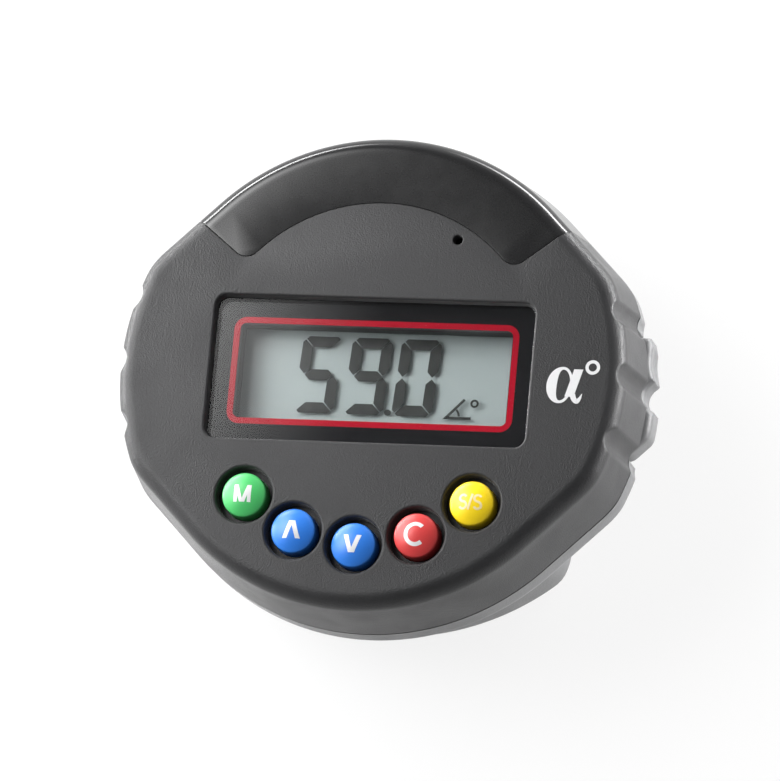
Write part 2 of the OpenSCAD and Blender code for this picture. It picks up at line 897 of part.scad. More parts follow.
front_case();
alarm_lens();
display_window();
window_mask();
lcd_panel();
lcd_holder();
zebra_strips();
main_pcb();
controller_chip();
gyro_chip();
alarm_leds();
buzzer();
key_switches();
mode_button();
up_button();
down_button();
clear_button();
start_button();
case_gasket();
rear_case();
case_screws();
left_latch();
right_latch();
left_latch_spring();
right_latch_spring();
battery_cover();
battery_cells();
battery_contacts();
contact_pins();
mount_magnets();
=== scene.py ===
# %% [markdown]
# # Torque angle gauge
# A palm-sized instrument that sits on a wrench and shows how far a bolt has turned. The solids of the
# part are loaded first and stay where they are. Every piece made below is laid over them in the same
# frame, in millimetres, and turned into metres when its mesh is built.

# %% Load the solids
import json
import math

import bmesh
import bpy
import numpy as np
from mathutils import Matrix, Vector
from mathutils.geometry import delaunay_2d_cdt


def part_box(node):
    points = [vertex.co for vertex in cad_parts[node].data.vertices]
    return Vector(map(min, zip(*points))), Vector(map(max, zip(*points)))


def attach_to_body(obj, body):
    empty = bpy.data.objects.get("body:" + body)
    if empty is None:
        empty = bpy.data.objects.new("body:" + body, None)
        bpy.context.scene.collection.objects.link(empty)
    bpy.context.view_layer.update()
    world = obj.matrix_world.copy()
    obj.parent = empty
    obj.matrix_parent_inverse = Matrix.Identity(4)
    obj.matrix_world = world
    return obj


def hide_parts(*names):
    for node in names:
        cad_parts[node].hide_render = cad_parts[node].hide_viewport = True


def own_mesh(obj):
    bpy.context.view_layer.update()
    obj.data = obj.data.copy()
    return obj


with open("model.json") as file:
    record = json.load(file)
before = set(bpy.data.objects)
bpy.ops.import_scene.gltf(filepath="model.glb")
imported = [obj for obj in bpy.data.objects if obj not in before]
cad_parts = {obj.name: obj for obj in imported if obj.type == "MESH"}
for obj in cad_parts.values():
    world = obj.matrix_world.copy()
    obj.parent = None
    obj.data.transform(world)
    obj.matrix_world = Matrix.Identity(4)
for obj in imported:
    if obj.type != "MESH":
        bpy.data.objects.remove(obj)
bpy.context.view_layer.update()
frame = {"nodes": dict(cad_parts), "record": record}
MM = 0.001


def span(node):
    """Lowest and highest corner of a solid, in millimetres."""
    low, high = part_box(node)
    return np.array(low) / MM, np.array(high) / MM


slot_of = {part["node"]: part["material_slot"] for part in frame["record"]["subparts"]}

# %% [markdown]
# ## Measures
# Heights and places come from the boxes of the solids, so that the looks follow the construction. Only
# the radii that a box cannot tell, such as fillets and grooves, are written here.

# %% Read the levels
front_low, front_high = span("front_case")
seal_low, seal_high = span("case_gasket")
rear_low = span("rear_case")[0]
cover_high = span("battery_cover")[1]
pane_low, pane_high = span("display_window")
mask_low, mask_high = span("window_mask")
lcd_low, lcd_high = span("lcd_panel")
holder_high = span("lcd_holder")[1]
board_low, board_high = span("main_pcb")
tab_low, tab_high = span("right_latch")
magnet_high = span("mount_magnets")[1]
screw_high = span("case_screws")[1]
spring_low, spring_high = span("right_latch_spring")

Z_FACE = front_high[2]
Z_FRONT = seal_high[2]
Z_REAR = seal_low[2]
Z_CASE = rear_low[2]
Z_BOARD = board_high[2]
BODY_R = round(-front_low[1], 1)

FLANK_R = 41.5
CORNER_BLEND = 0.8
WALL = 2.0
Z_ROOF = Z_FACE - WALL
Z_FLOOR = Z_CASE + WALL
SIDE_LEAN = 1.2
FACE_FILLET = 2.6
REAR_FILLET = 2.2
GROOVE_R = 2.6
GROOVE_DEPTH = 0.95
GROOVE_PITCH = 10.5
GROOVE_MID = 0.85
GROOVE_SOFT = 0.35
GROOVE_Y = GROOVE_MID + GROOVE_PITCH * np.array([-1, 0, 1])
FLAT_RING = 0.4
EDGE = 0.1
print("face at", round(Z_FACE, 2), "mm, outline radius", round(BODY_R, 2), "mm")

# %% [markdown]
# ## A skin made of patches
# A moulded shell is a few smooth surfaces that meet along edges: the side, the fillet, the flat face and
# the walls of each opening. Each patch is worked out as one array of points. Flat stretches between
# outlines are filled with triangles. The patches share their edge points, so merging those points closes
# the skin, and the normals are turned outwards afterwards.

# %% Collect patches and build a mesh
WELD = 2e-6
SHARP_ANGLE = math.radians(38)


def inside(points, edges):
    """Even-odd rule: inside means that a ray to the right crosses the outlines an odd number of times."""
    start, end = edges[:, 0], edges[:, 1]
    x, y = points[:, :1], points[:, 1:]
    crossed = (start[:, 1] > y) != (end[:, 1] > y)
    rise = np.where(end[:, 1] == start[:, 1], 1, end[:, 1] - start[:, 1])
    meet = start[:, 0] + (y - start[:, 1]) * (end[:, 0] - start[:, 0]) / rise
    return (crossed & (x < meet)).sum(axis=1) % 2 == 1


class Skin:
    """Patches of one piece, in millimetres, that become one mesh."""

    def __init__(self):
        self.points = []
        self.faces = []
        self.count = 0

    def add(self, points, faces):
        """One patch: its points, and its faces as rows of indices into them."""
        points = np.asarray(points, float).reshape(-1, 3)
        self.points.append(points)
        self.faces.extend((np.asarray(faces) + self.count).tolist())
        self.count += len(points)

    def grid(self, surface, wrap=False):
        """Quads between neighbouring rows and columns of an array of points."""
        rows, columns = surface.shape[:2]
        index = np.arange(rows * columns).reshape(rows, columns)
        if wrap:
            index = np.concatenate([index, index[:, :1]], axis=1)
        quads = np.stack([index[:-1, :-1], index[:-1, 1:], index[1:, 1:], index[1:, :-1]], axis=-1)
        self.add(surface, quads.reshape(-1, 4))

    def polygon(self, points):
        """One flat face round a row of points."""
        self.add(points, [range(len(points))])

    def fill(self, loops, z):
        """Flat triangles at height z, inside the outer loop and outside the loops of its holes."""
        points = np.concatenate([loop[:, :2] for loop in loops])
        edges = []
        first = 0
        for loop in loops:
            index = np.arange(first, first + len(loop))
            edges.append(np.stack([index, np.roll(index, -1)], axis=1))
            first += len(loop)
        edges = np.concatenate(edges)
        made = delaunay_2d_cdt([Vector(p) for p in points.tolist()], edges.tolist(), [], 0, 1e-5)
        flat = np.array([tuple(v) for v in made[0]])
        triangles = np.array(made[2])
        keep = inside(flat[triangles].mean(axis=1), points[edges])
        self.add(np.column_stack([flat, np.full(len(flat), z)]), triangles[keep])

    def mirror(self, sign):
        """Carries the patches over to the left side where sign is -1."""
        self.points = [points * np.array([sign, 1, 1]) for points in self.points]

    def build(self, name, sharp=SHARP_ANGLE):
        """Merges the patches, turns the faces outwards and links the finished piece."""
        mesh = bpy.data.meshes.new(name)
        mesh.from_pydata((np.concatenate(self.points) * MM).tolist(), [], self.faces)
        work = bmesh.new()
        work.from_mesh(mesh)
        bmesh.ops.remove_doubles(work, verts=work.verts, dist=WELD)
        bmesh.ops.dissolve_degenerate(work, edges=work.edges, dist=WELD / 4)
        bmesh.ops.recalc_face_normals(work, faces=work.faces)
        work.to_mesh(mesh)
        work.free()
        mesh.shade_smooth()
        mesh.set_sharp_from_angle(angle=sharp)
        used = np.empty(len(mesh.loops), np.int32)
        mesh.loops.foreach_get("edge_index", used)
        shared = np.bincount(used, minlength=len(mesh.edges))
        piece = bpy.data.objects.new(name, mesh)
        bpy.context.scene.collection.objects.link(piece)
        print(name, len(mesh.polygons), "faces,", int((shared != 2).sum()), "open edges")
        return piece


# %% [markdown]
# ## Curves that the patches share
# The outline of the case is a circle at the top and bottom, straight shoulders at 45 degrees that touch
# that circle, and a wider circle over the gripping flanks. A soft minimum joins them, which rounds the
# corners. The grip grooves are cylinders standing in the flank, written as a radius too, so one formula
# gives the whole side.

# %% Outline, grooves and small helpers
QUARTER = np.linspace(0, math.pi / 2, 7)
RIM_RING = 0.04


def soft_min(a, b, k):
    """Lower of two values, rounded where they come within k of each other."""
    return np.minimum(a, b) - np.maximum(k - np.abs(a - b), 0) ** 2 / (4 * k)


def turned(angle):
    """Unit vectors at the given angles."""
    return np.stack([np.cos(angle), np.sin(angle)], axis=-1)


def outline(angle, inset):
    """Radius of the case: a circle, or the soft minimum of the flank circle and the shoulder line."""
    c = np.abs(np.cos(angle))
    s = np.abs(np.sin(angle))
    r = BODY_R - inset
    flank = soft_min(FLANK_R - inset, r * math.sqrt(2) / (c + s), CORNER_BLEND)
    return np.where(s > c, r + 0 * c, flank)


def grooved(angle, radius, lean):
    """Soft minimum of a radius and the near wall of each groove.
    A groove is a cylinder of radius GROOVE_R that stands outside the flank."""
    axis = FLANK_R - GROOVE_DEPTH + GROOVE_R
    for rise in np.arcsin(GROOVE_Y / FLANK_R):
        for centre in (rise, math.pi - rise):
            off = np.mod(angle - centre + math.pi, 2 * math.pi) - math.pi
            room = GROOVE_R**2 - (axis * np.sin(off)) ** 2
            wall = axis * np.cos(off) - np.sqrt(np.maximum(room, 0)) - lean
            cut = soft_min(radius, wall, GROOVE_SOFT)
            radius = np.where((room > 0) & (np.cos(off) > 0), cut, radius)
    return radius


def revolve(place, rows, count=72):
    """Profile of (radius, height) turned about a vertical line through place."""
    rows = np.asarray(rows, float)
    ring = turned(np.arange(count) * 2 * math.pi / count)
    surface = np.empty((len(rows), count, 3))
    surface[..., :2] = np.asarray(place)[:2] + rows[:, None, :1] * ring
    surface[..., 2] = rows[:, 1:]
    return surface


def rim(radius, z, round_r):
    """Rows of a hole's rounded rim: a flat ring, then a quarter turn down into the hole."""
    across = radius + round_r - round_r * np.sin(QUARTER)
    down = z - round_r + round_r * np.cos(QUARTER)
    return [[radius + round_r + RIM_RING, z]] + np.column_stack([across, down]).tolist()


def rect_loop(width, height, corner, centre=(0, 0)):
    """Rectangle with round corners as a closed row of points, counterclockwise."""
    turn = np.linspace(0, math.pi / 2, 9)
    parts = []
    for k, (sx, sy) in enumerate(((1, 1), (-1, 1), (-1, -1), (1, -1))):
        middle = np.array([sx * (width / 2 - corner), sy * (height / 2 - corner)])
        parts.append(middle + corner * turned(turn + k * math.pi / 2))
    return np.concatenate(parts) + np.asarray(centre)


def at_height(loop, z):
    """Flat points lifted to height z."""
    return np.column_stack([loop, np.full(len(loop), z)])


# %% [markdown]
# ## Sides of a shell
# A side is a grid: columns run round the case, rows run along its profile from the rim to the flat. The
# columns lie closer together over the flanks, where the grooves are. Each end of a side follows a cut,
# such as the edge of the lens, so the end columns are moved onto that cut.

# %% Side surface and its normals
FLANK_ZONE = math.sin(math.radians(27))
FINE_STEP = math.radians(0.35)
WIDE_STEP = math.radians(1.2)
END_ZONE = math.radians(4)
CUT_ROUNDS = 5


def side_angles(first, last):
    """Angles from first to last with short steps over the flanks and long ones elsewhere."""
    dense = np.linspace(first, last, 4001)
    per_step = np.where(np.abs(np.sin(dense)) < FLANK_ZONE, FINE_STEP, WIDE_STEP)
    travel = np.concatenate([[0], np.cumsum(np.diff(dense) / per_step[1:])])
    return np.interp(np.linspace(0, travel[-1], int(travel[-1]) + 2), travel, dense)


def surface_normals(surface, sign):
    """Cross product of the steps along the columns and along the rows."""
    normal = np.cross(np.gradient(surface, axis=1), np.gradient(surface, axis=0))
    return sign * normal / np.linalg.norm(normal, axis=2, keepdims=True)


def inner_profile(profile, sign):
    """Profile moved in by the wall, along the normals of its own line."""
    step = np.gradient(profile, axis=0)
    normal = sign * np.column_stack([-step[:, 1], step[:, 0]])
    normal[0] = (-1, 0)
    normal[-1] = (0, sign)
    return profile - WALL * normal / np.linalg.norm(normal, axis=1, keepdims=True)


def side(profile, start, end, lean_at):
    """Points, normals and inner points of a side: radius = outline less the row's inset, cut by the grooves.
    start and end give the angle of the cut at a radius. The inside has no grooves."""
    inset = profile[:, :1]
    lean = lean_at(profile[:, 1:])
    base = side_angles(start(FLANK_R), end(FLANK_R))
    near_start = np.clip(1 - (base - base[0]) / END_ZONE, 0, 1)
    near_end = np.clip(1 - (base[-1] - base) / END_ZONE, 0, 1)
    angle = np.repeat(base[None], len(profile), axis=0)
    for _ in range(CUT_ROUNDS):
        radius = grooved(angle, outline(angle, inset), lean)
        to_start = near_start * (start(radius[:, :1]) - base[0])
        to_end = near_end * (end(radius[:, -1:]) - base[-1])
        angle = base + to_start + to_end
    radius = grooved(angle, outline(angle, inset), lean)
    sign = np.sign(profile[-1, 1] - profile[0, 1])
    within = inner_profile(profile, sign)
    surface = np.empty(radius.shape + (3,))
    surface[..., :2] = radius[..., None] * turned(angle)
    surface[..., 2] = profile[:, 1:]
    inner = np.empty_like(surface)
    inner[..., :2] = outline(angle, within[:, :1])[..., None] * turned(angle)
    inner[..., 2] = within[:, 1:]
    normals = surface_normals(surface, sign)
    normals[-1] = (0, 0, sign)
    return surface, normals, inner


# %% [markdown]
# ## Cut edges
# Where a shell is cut, as round the lens, moulded plastic has a small round edge and a wall as thick as the
# shell. The cut runs down the end of one side, across the flat and along the next side. One sweep makes it:
# each point of the path has a normal of the surface and a direction towards the gap.

# %% Sweep a cut and close a shell
def cut_edge(skin, leave, plan, toward, enter, rim_z):
    """Rounded edge and wall along a cut, as rows: path + EDGE sin(a) toward + EDGE (cos(a) - 1) normal.
    Returns the sweep, and its inner edge along the first side, across the flat and along the next side."""
    flat_z = leave[0][-1, 2]
    up = leave[1][-1]
    path = np.concatenate([leave[0], at_height(plan, flat_z), enter[0][::-1]])
    normal = np.concatenate([leave[1], np.repeat(up[None], len(plan), axis=0), enter[1][::-1]])
    rows_a, rows_b = len(leave[0]), len(enter[0])
    first, last = np.repeat(toward[:1], rows_a, axis=0), np.repeat(toward[-1:], rows_b, axis=0)
    to_gap = at_height(np.concatenate([first, toward, last]), 0)
    turn = QUARTER[:, None, None]
    rows = path + EDGE * np.sin(turn) * to_gap + EDGE * (np.cos(turn) - 1) * normal
    within = np.concatenate([leave[2], at_height(plan, leave[2][-1, 2]), enter[2][::-1]])
    sweep = np.concatenate([rows, (within + EDGE * to_gap)[None]])
    sweep[:, [0, -1], 2] = rim_z
    skin.grid(sweep)
    inner = sweep[-1]
    return sweep, inner[:rows_a], inner[rows_a:-rows_b], inner[-rows_b:][::-1]


def close_shell(skin, sides, plans, rim_z, inner_z, face_holes, inner_holes):
    """Joins sides and cuts, in counterclockwise order, to one shell with a flat outside and a flat inside.
    plans holds, for each side, the path and the direction of the cut that follows it."""
    face_loop, inner_loop, cuts = [], [], []
    for k, arrays in enumerate(sides):
        leave = [array[:, -1] for array in arrays]
        enter = [array[:, 0] for array in sides[(k + 1) % len(sides)]]
        cuts.append(cut_edge(skin, leave, *plans[k], enter, rim_z))
    for k, (surface, _, within) in enumerate(sides):
        before, after = cuts[k - 1], cuts[k]
        inner = np.concatenate([before[3][:, None], within, after[1][:, None]], axis=1)
        skin.grid(surface)
        skin.grid(inner)
        skin.grid(np.stack([surface[0], within[0]]))
        skin.polygon(np.concatenate([after[0][:, 0], within[0, -1:]]))
        skin.polygon(np.concatenate([before[0][:, -1], within[0, :1]]))
        face_loop += [surface[-1, :, :2], plans[k][0]]
        inner_loop += [inner[-1, :, :2], after[2][:, :2]]
    skin.fill([np.concatenate(face_loop)] + face_holes, sides[0][0][-1, 0, 2])
    skin.fill([np.concatenate(inner_loop)] + inner_holes, inner_z)


# %% [markdown]
# ## Outline of the alarm lens
# The lens is a crescent: an arc at its inner edge, two straight ends that point at the centre and round
# corners between them. The case and the lens use the same path, the case with a small gap added.

# %% Lens path
LENS_R = 26.9
LENS_GAP = 0.06
LENS_CORNER = 2.4
LENS_END = math.radians(38.5)


def lens_path(gap):
    """Path from the left end to the right end of the lens, grown by a gap, and the directions into the lens.
    A corner's centre lies LENS_CORNER inside the straight end and outside the arc."""
    reach = LENS_R + LENS_CORNER
    swing = math.asin(LENS_CORNER / reach)
    corner = reach * turned(np.array(LENS_END + swing))
    radius = LENS_CORNER + gap
    out = turned(np.linspace(LENS_END + swing - math.pi, LENS_END - math.pi / 2, 10))
    right = corner + radius * out
    arc = turned(np.linspace(math.pi / 2, LENS_END + swing, 40)[:-1])
    half = np.concatenate([(LENS_R - gap) * arc, right])
    half_in = np.concatenate([arc, -out])
    mirror = np.array([-1, 1])
    path = np.concatenate([(half * mirror)[:0:-1], half])
    into = np.concatenate([(half_in * mirror)[:0:-1], half_in])
    return path, into


def upright_lean(z):
    """Grooves of the rear stand upright: no lean at any height."""
    return 0 * z


def front_lean(z):
    """Grooves of the front lean inwards with its side."""
    return SIDE_LEAN * (z - (Z_FRONT + Z_REAR) / 2) / (Z_FACE - FACE_FILLET - Z_FRONT)


def front_profile():
    """Side of the front shell: a leaning wall, a quarter-round fillet and a ring of the flat face."""
    wall_z = np.linspace(Z_FRONT, Z_FACE - FACE_FILLET, 8)[:-1]
    wall = np.column_stack([SIDE_LEAN * (wall_z - Z_FRONT) / (Z_FACE - FACE_FILLET - Z_FRONT), wall_z])
    turn = np.linspace(0, math.pi / 2, 13)
    bend_z = Z_FACE - FACE_FILLET + FACE_FILLET * np.sin(turn)
    bend = np.column_stack([SIDE_LEAN + FACE_FILLET * (1 - np.cos(turn)), bend_z])
    flat = [[SIDE_LEAN + FACE_FILLET + FLAT_RING, Z_FACE]]
    return np.concatenate([wall, bend, flat])


print("lens path of", len(lens_path(0)[0]), "points")

# %% [markdown]
# ## Front shell
# The face has a recess for the display, five wells for the buttons and a small sound hole, all with soft
# rims as a mould leaves them. Below the face the walls of these openings go on down: a ledge for the pane,
# guides for the buttons and posts for the screws.

# %% Make the front shell
WINDOW_CORNER = 1.8
WINDOW_GAP = 0.15
WINDOW = 2 * (pane_high[:2] + WINDOW_GAP)
WINDOW_ROUND = 0.35
VIEW = np.array([43.6, 15.4])
VIEW_CORNER = 0.3
TRAY_WALL = 1.6
LEDGE_Z = holder_high[2]
WELL_R = 4.5
WELL_ROUND = 0.4
WELL_DEPTH = 2.6
GUIDE_R = 3.65
GUIDE_T = 1.4
GUIDE_OUT_R = 4.9
SOUND_HOLE = np.array([12.2, 21.3])
SOUND_HOLE_R = 0.75
SOUND_HOLE_ROUND = 0.2
POST_R = 3.0
PILOT_R = 1.03
PILOT_DEPTH = 6.0
KEYS = ("mode", "up", "down", "clear", "start")
key_place = {key: sum(span(f"{key}_button"))[:2] / 2 for key in KEYS}
SCREW_CAP_R = 2.1
screw_half = screw_high[:2] - SCREW_CAP_R
screw_place = [screw_half * np.array([sx, sy]) for sx in (-1, 1) for sy in (-1, 1)]


def window_walls():
    """Recess with a round rim, ledge, view opening and tray, as rounded rectangles at falling heights."""
    rows = []
    for offset, z in rim(0, Z_FACE, WINDOW_ROUND):
        rows.append((*(WINDOW + 2 * offset), WINDOW_CORNER + offset, z))
    rows.append((*WINDOW, WINDOW_CORNER, mask_low[2]))
    rows += [(*VIEW, VIEW_CORNER, z) for z in (mask_low[2], LEDGE_Z)]
    rows += [(*(WINDOW + 2 * TRAY_WALL), WINDOW_CORNER + TRAY_WALL, z) for z in (LEDGE_Z, Z_ROOF)]
    return np.stack([at_height(rect_loop(w, h, corner), z) for w, h, corner, z in rows])


def well_walls(place):
    """Well with a round rim and a floor, a guide bore, and the guide's outside up to the roof."""
    z_well = Z_FACE - WELL_DEPTH
    z_guide = z_well - GUIDE_T
    rows = rim(WELL_R, Z_FACE, WELL_ROUND)
    rows += [[WELL_R, z_well], [GUIDE_R, z_well], [GUIDE_R, z_guide]]
    rows += [[GUIDE_OUT_R, z_guide], [GUIDE_OUT_R, Z_ROOF]]
    return revolve(place, rows)


def front_shell():
    """One side from lens end to lens end, the cut along the lens, the openings and the screw posts."""
    skin = Skin()
    shift = LENS_GAP + EDGE
    start = lambda r: math.pi - LENS_END + np.arcsin(shift / r)
    end = lambda r: 2 * math.pi + LENS_END - np.arcsin(shift / r)
    sides = [side(front_profile(), start, end, front_lean)]
    path, into = lens_path(LENS_GAP)
    plan = (path - EDGE * into)[::-1], into[::-1]
    sound_rows = rim(SOUND_HOLE_R, Z_FACE, SOUND_HOLE_ROUND) + [[SOUND_HOLE_R, Z_ROOF]]
    openings = [window_walls(), revolve(SOUND_HOLE, sound_rows, 32)]
    openings += [well_walls(place) for place in key_place.values()]
    posts = []
    for place in screw_place:
        rows = [[POST_R, Z_ROOF], [POST_R, Z_BOARD], [PILOT_R, Z_BOARD], [PILOT_R, Z_BOARD + PILOT_DEPTH]]
        posts.append(revolve(place, rows + [[0, Z_BOARD + PILOT_DEPTH]], 32))
    for walls in openings + posts:
        skin.grid(walls, wrap=True)
    face_holes = [walls[0] for walls in openings]
    roof_holes = [walls[-1] for walls in openings] + [walls[0] for walls in posts]
    close_shell(skin, sides, [plan], Z_FRONT, Z_ROOF, face_holes, roof_holes)
    return skin.build("front_shell")


front_piece = front_shell()

# %% [markdown]
# ## Alarm lens
# The smoky lens carries on the same side and face as the case, so it is the same formula over the angles
# that the case leaves out.

# %% Make the lens
def lens_shell():
    """The side over the top of the case, closed by the lens path with its directions turned round."""
    skin = Skin()
    start = lambda r: LENS_END + np.arcsin(EDGE / r)
    end = lambda r: math.pi - LENS_END - np.arcsin(EDGE / r)
    sides = [side(front_profile(), start, end, front_lean)]
    path, into = lens_path(0)
    plan = path + EDGE * into, -into
    close_shell(skin, sides, [plan], Z_FRONT, Z_ROOF, [], [])
    return skin.build("lens_shell")


lens_piece = lens_shell()

# %% [markdown]
# ## Rear shell
# The rear shell is the shallow dish under the parting line. A notch in each flank lets a squeeze tab
# through, so its side comes in two stretches, above and below the tabs. Slots and holes in its floor are
# covered by the battery block, but they are cut all the same, because the hooks of the tabs move in them.

# %% Make the rear shell
TAB_END_GAP = 1.0
TAB_OPENING = 1.0
TAB_Y = GROOVE_Y[[0, 2]] + TAB_END_GAP * np.array([1, -1])
NOTCH_Y = TAB_Y + TAB_OPENING * np.array([-1, 1])
NOTCH_X = 34.55
NOTCH_CORNER = 0.6
HOOK_SLOT = np.array([22.0, 26.8, -2.05, 3.75])
SLOT_CORNER = 0.4
SCREW_HEAD_R = 2.3
SCREW_BORE_R = 1.2
SCREW_HEAD_DEPTH = 2.1


def slab(skin, low, high, corner=0.3, edge=0.15):
    """Block with round corners and softened edges: rounded rectangles at rising heights, closed by flats."""
    low, high = np.asarray(low, float), np.asarray(high, float)
    size, centre = high - low, (high + low) / 2
    rows = [(edge + 0.02, low[2]), (edge, low[2]), (0, low[2] + edge), (0, high[2] - edge)]
    rows += [(edge, high[2]), (edge + 0.02, high[2])]
    loops = []
    for inset, z in rows:
        loop = rect_loop(*(size[:2] - 2 * inset), max(corner - inset, 0.05), centre[:2])
        loops.append(at_height(loop, z))
    skin.grid(np.stack(loops), wrap=True)
    skin.fill([loops[0]], low[2])
    skin.fill([loops[-1]], high[2])


def rear_profile():
    """Side of the rear shell: an upright wall, a quarter-round fillet and a ring of the flat back."""
    wall = [[0, z] for z in np.linspace(Z_REAR, Z_CASE + REAR_FILLET, 6)[:-1]]
    turn = np.linspace(0, math.pi / 2, 13)
    bend = np.column_stack([REAR_FILLET * (1 - np.cos(turn)), Z_CASE + REAR_FILLET * (1 - np.sin(turn))])
    return np.concatenate([wall, bend, [[REAR_FILLET + FLAT_RING, Z_CASE]]])


def notch_path(mirror):
    """Edge of the right notch from its lower to its upper side, with round corners, and the way into it.
    mirror -1 gives the left notch, from its upper to its lower side."""
    turn = np.linspace(0, math.pi / 2, 6)
    low_corner = np.array([NOTCH_X + NOTCH_CORNER, NOTCH_Y[0] + NOTCH_CORNER])
    high_corner = np.array([NOTCH_X + NOTCH_CORNER, NOTCH_Y[1] - NOTCH_CORNER])
    low_out = turned(-math.pi / 2 - turn)
    high_out = turned(math.pi - turn)
    path = np.concatenate([low_corner + NOTCH_CORNER * low_out, high_corner + NOTCH_CORNER * high_out])
    into = -np.concatenate([low_out, high_out])
    path = path - EDGE * into
    if mirror < 0:
        flip = np.array([-1, 1])
        path, into = (path * flip)[::-1], (into * flip)[::-1]
    return path, into


def rear_shell():
    """Two sides, over and under the tabs, with a cut at each notch, slots for the hooks and screw bosses."""
    skin = Skin()
    high, low = NOTCH_Y[1] + EDGE, NOTCH_Y[0] - EDGE
    profile = rear_profile()
    upper = side(profile, lambda r: np.arcsin(high / r),
                 lambda r: math.pi - np.arcsin(high / r), upright_lean)
    lower = side(profile, lambda r: math.pi - np.arcsin(low / r),
                 lambda r: 2 * math.pi + np.arcsin(low / r), upright_lean)
    back_holes, floor_holes = [], []
    for sign in (-1, 1):
        x0, x1, y0, y1 = HOOK_SLOT
        loop = rect_loop(x1 - x0, y1 - y0, SLOT_CORNER, (sign * (x0 + x1) / 2, (y0 + y1) / 2))
        skin.grid(np.stack([at_height(loop, Z_CASE), at_height(loop, Z_FLOOR)]), wrap=True)
        back_holes.append(loop)
        floor_holes.append(loop)
    z_head = Z_CASE + SCREW_HEAD_DEPTH
    rows = [[SCREW_HEAD_R, Z_CASE], [SCREW_HEAD_R, z_head], [SCREW_BORE_R, z_head]]
    rows += [[SCREW_BORE_R, board_low[2]], [POST_R, board_low[2]], [POST_R, Z_FLOOR]]
    for place in screw_place:
        boss = revolve(place, rows, 32)
        skin.grid(boss, wrap=True)
        back_holes.append(boss[0])
        floor_holes.append(boss[-1])
    notches = [notch_path(-1), notch_path(1)]
    close_shell(skin, [upper, lower], notches, Z_REAR, Z_FLOOR, back_holes, floor_holes)
    return skin.build("rear_shell")


rear_piece = rear_shell()

# %% [markdown]
# ## Battery block
# The block behind the case holds two cells and four magnet discs. Its outline has straight sides between a
# top and a bottom arc, again joined by a soft minimum, and a generous round edge at the back.

# %% Make the battery block
BLOCK_WALL = 1.8
BLOCK_FLOOR = 1.5
BLOCK_FILLET = 3.4
BLOCK_BLEND = 3.0
BLOCK_ARC_R = 41.6
BLOCK_HALF = cover_high[:2]
MAGNET_R = 6.5
MAGNET_GAP = 0.05
CUP_R = MAGNET_R + 0.7
INNER_FILLET = 0.8
magnet_half = magnet_high[:2] - MAGNET_R
magnet_place = [magnet_half * np.array([sx, sy]) for sx in (-1, 1) for sy in (-1, 1)]


def block_ring(inset, z, count=240):
    """Ring of the block: soft minimum of the straight side and of the arc centred beyond the middle."""
    angle = np.arange(count) * 2 * math.pi / count
    c, s = np.abs(np.cos(angle)), np.abs(np.sin(angle))
    beyond = BLOCK_ARC_R - BLOCK_HALF[1]
    straight = (BLOCK_HALF[0] - inset) / np.maximum(c, 1e-3)
    arc = np.sqrt((beyond * s) ** 2 - beyond**2 + (BLOCK_ARC_R - inset) ** 2) - beyond * s
    return at_height(soft_min(straight, arc, BLOCK_BLEND)[:, None] * turned(angle), z)


def battery_block():
    """Rings up from the round rear edge, over the rim and down inside, with a cup over each magnet."""
    skin = Skin()
    turn = np.linspace(0, math.pi / 2, 13)[::-1]
    rows = [(BLOCK_FILLET * (1 - math.cos(a)), BLOCK_FILLET * (1 - math.sin(a))) for a in turn]
    rows += [(0, cover_high[2] - 0.2), (0.2, cover_high[2]), (BLOCK_WALL, cover_high[2])]
    rows += [(BLOCK_WALL + INNER_FILLET * (1 - math.cos(a)), BLOCK_FLOOR + INNER_FILLET * (1 - math.sin(a)))
             for a in turn[::-4]]
    shell = np.stack([block_ring(inset, z) for inset, z in rows])
    skin.grid(shell, wrap=True)
    cups = []
    for place in magnet_place:
        z_top = magnet_high[2] + BLOCK_FLOOR
        bore = MAGNET_R + MAGNET_GAP
        pocket = revolve(place, [[bore, 0], [bore, magnet_high[2]], [0, magnet_high[2]]])
        top = revolve(place, [[CUP_R, BLOCK_FLOOR], [CUP_R, z_top - 0.2], [CUP_R - 0.2, z_top], [0, z_top]])
        skin.grid(pocket, wrap=True)
        skin.grid(top, wrap=True)
        cups.append((pocket[0], top[0]))
    skin.fill([shell[0]] + [cup[0] for cup in cups], 0)
    skin.fill([shell[-1]] + [cup[1] for cup in cups], BLOCK_FLOOR)
    return skin.build("battery_block")


block_piece = battery_block()

# %% [markdown]
# ## Squeeze tabs
# Each flank has a tab that is pressed in with thumb and finger. Its outline, seen from the front, is the
# lowest of several distances along rays from a point inside it: to the outer circle, the two ends, the
# slanted lower corner, the groove and the thumb dimple. A soft minimum rounds every corner at once.

# %% Make the tabs
TAB_R = tab_high[0] - 0.5
TAB_X = 36.95
TAB_Z = np.array([Z_CASE + 0.2, tab_high[2]])
TAB_HUB = np.array([38.0, GROOVE_MID])
TAB_SOFT = 0.7
TAB_EDGE = 0.45
TAB_BROW = np.array([1.4, 1.3])
TAB_SLANT = 2.5
TAB_GROOVE_DEPTH = 1.65
DIMPLE_R = 7.0
DIMPLE_DEPTH = 0.7
DIMPLE_Y = GROOVE_MID + GROOVE_PITCH / 2
SLIDE_Z = np.array([Z_FLOOR + 0.25, 17.2])
FLANGE_X = np.array([35.55, 37.35])
LEG_X = np.array([tab_low[0], tab_low[0] + 2.0])
SLIDE_Y = np.array([-3.65, 5.35])
HOOK_Y = np.array([-1.65, 3.35])
HOOK_H = 1.8
HOOK_REACH = 0.9


def ray_to_line(ray, normal, distance):
    """Distance along rays from the hub to the line whose points p have p.normal = distance."""
    speed = ray @ np.asarray(normal, float)
    room = distance - TAB_HUB @ np.asarray(normal, float)
    return np.where(speed > 1e-3, room / np.maximum(speed, 1e-3), 99.0)


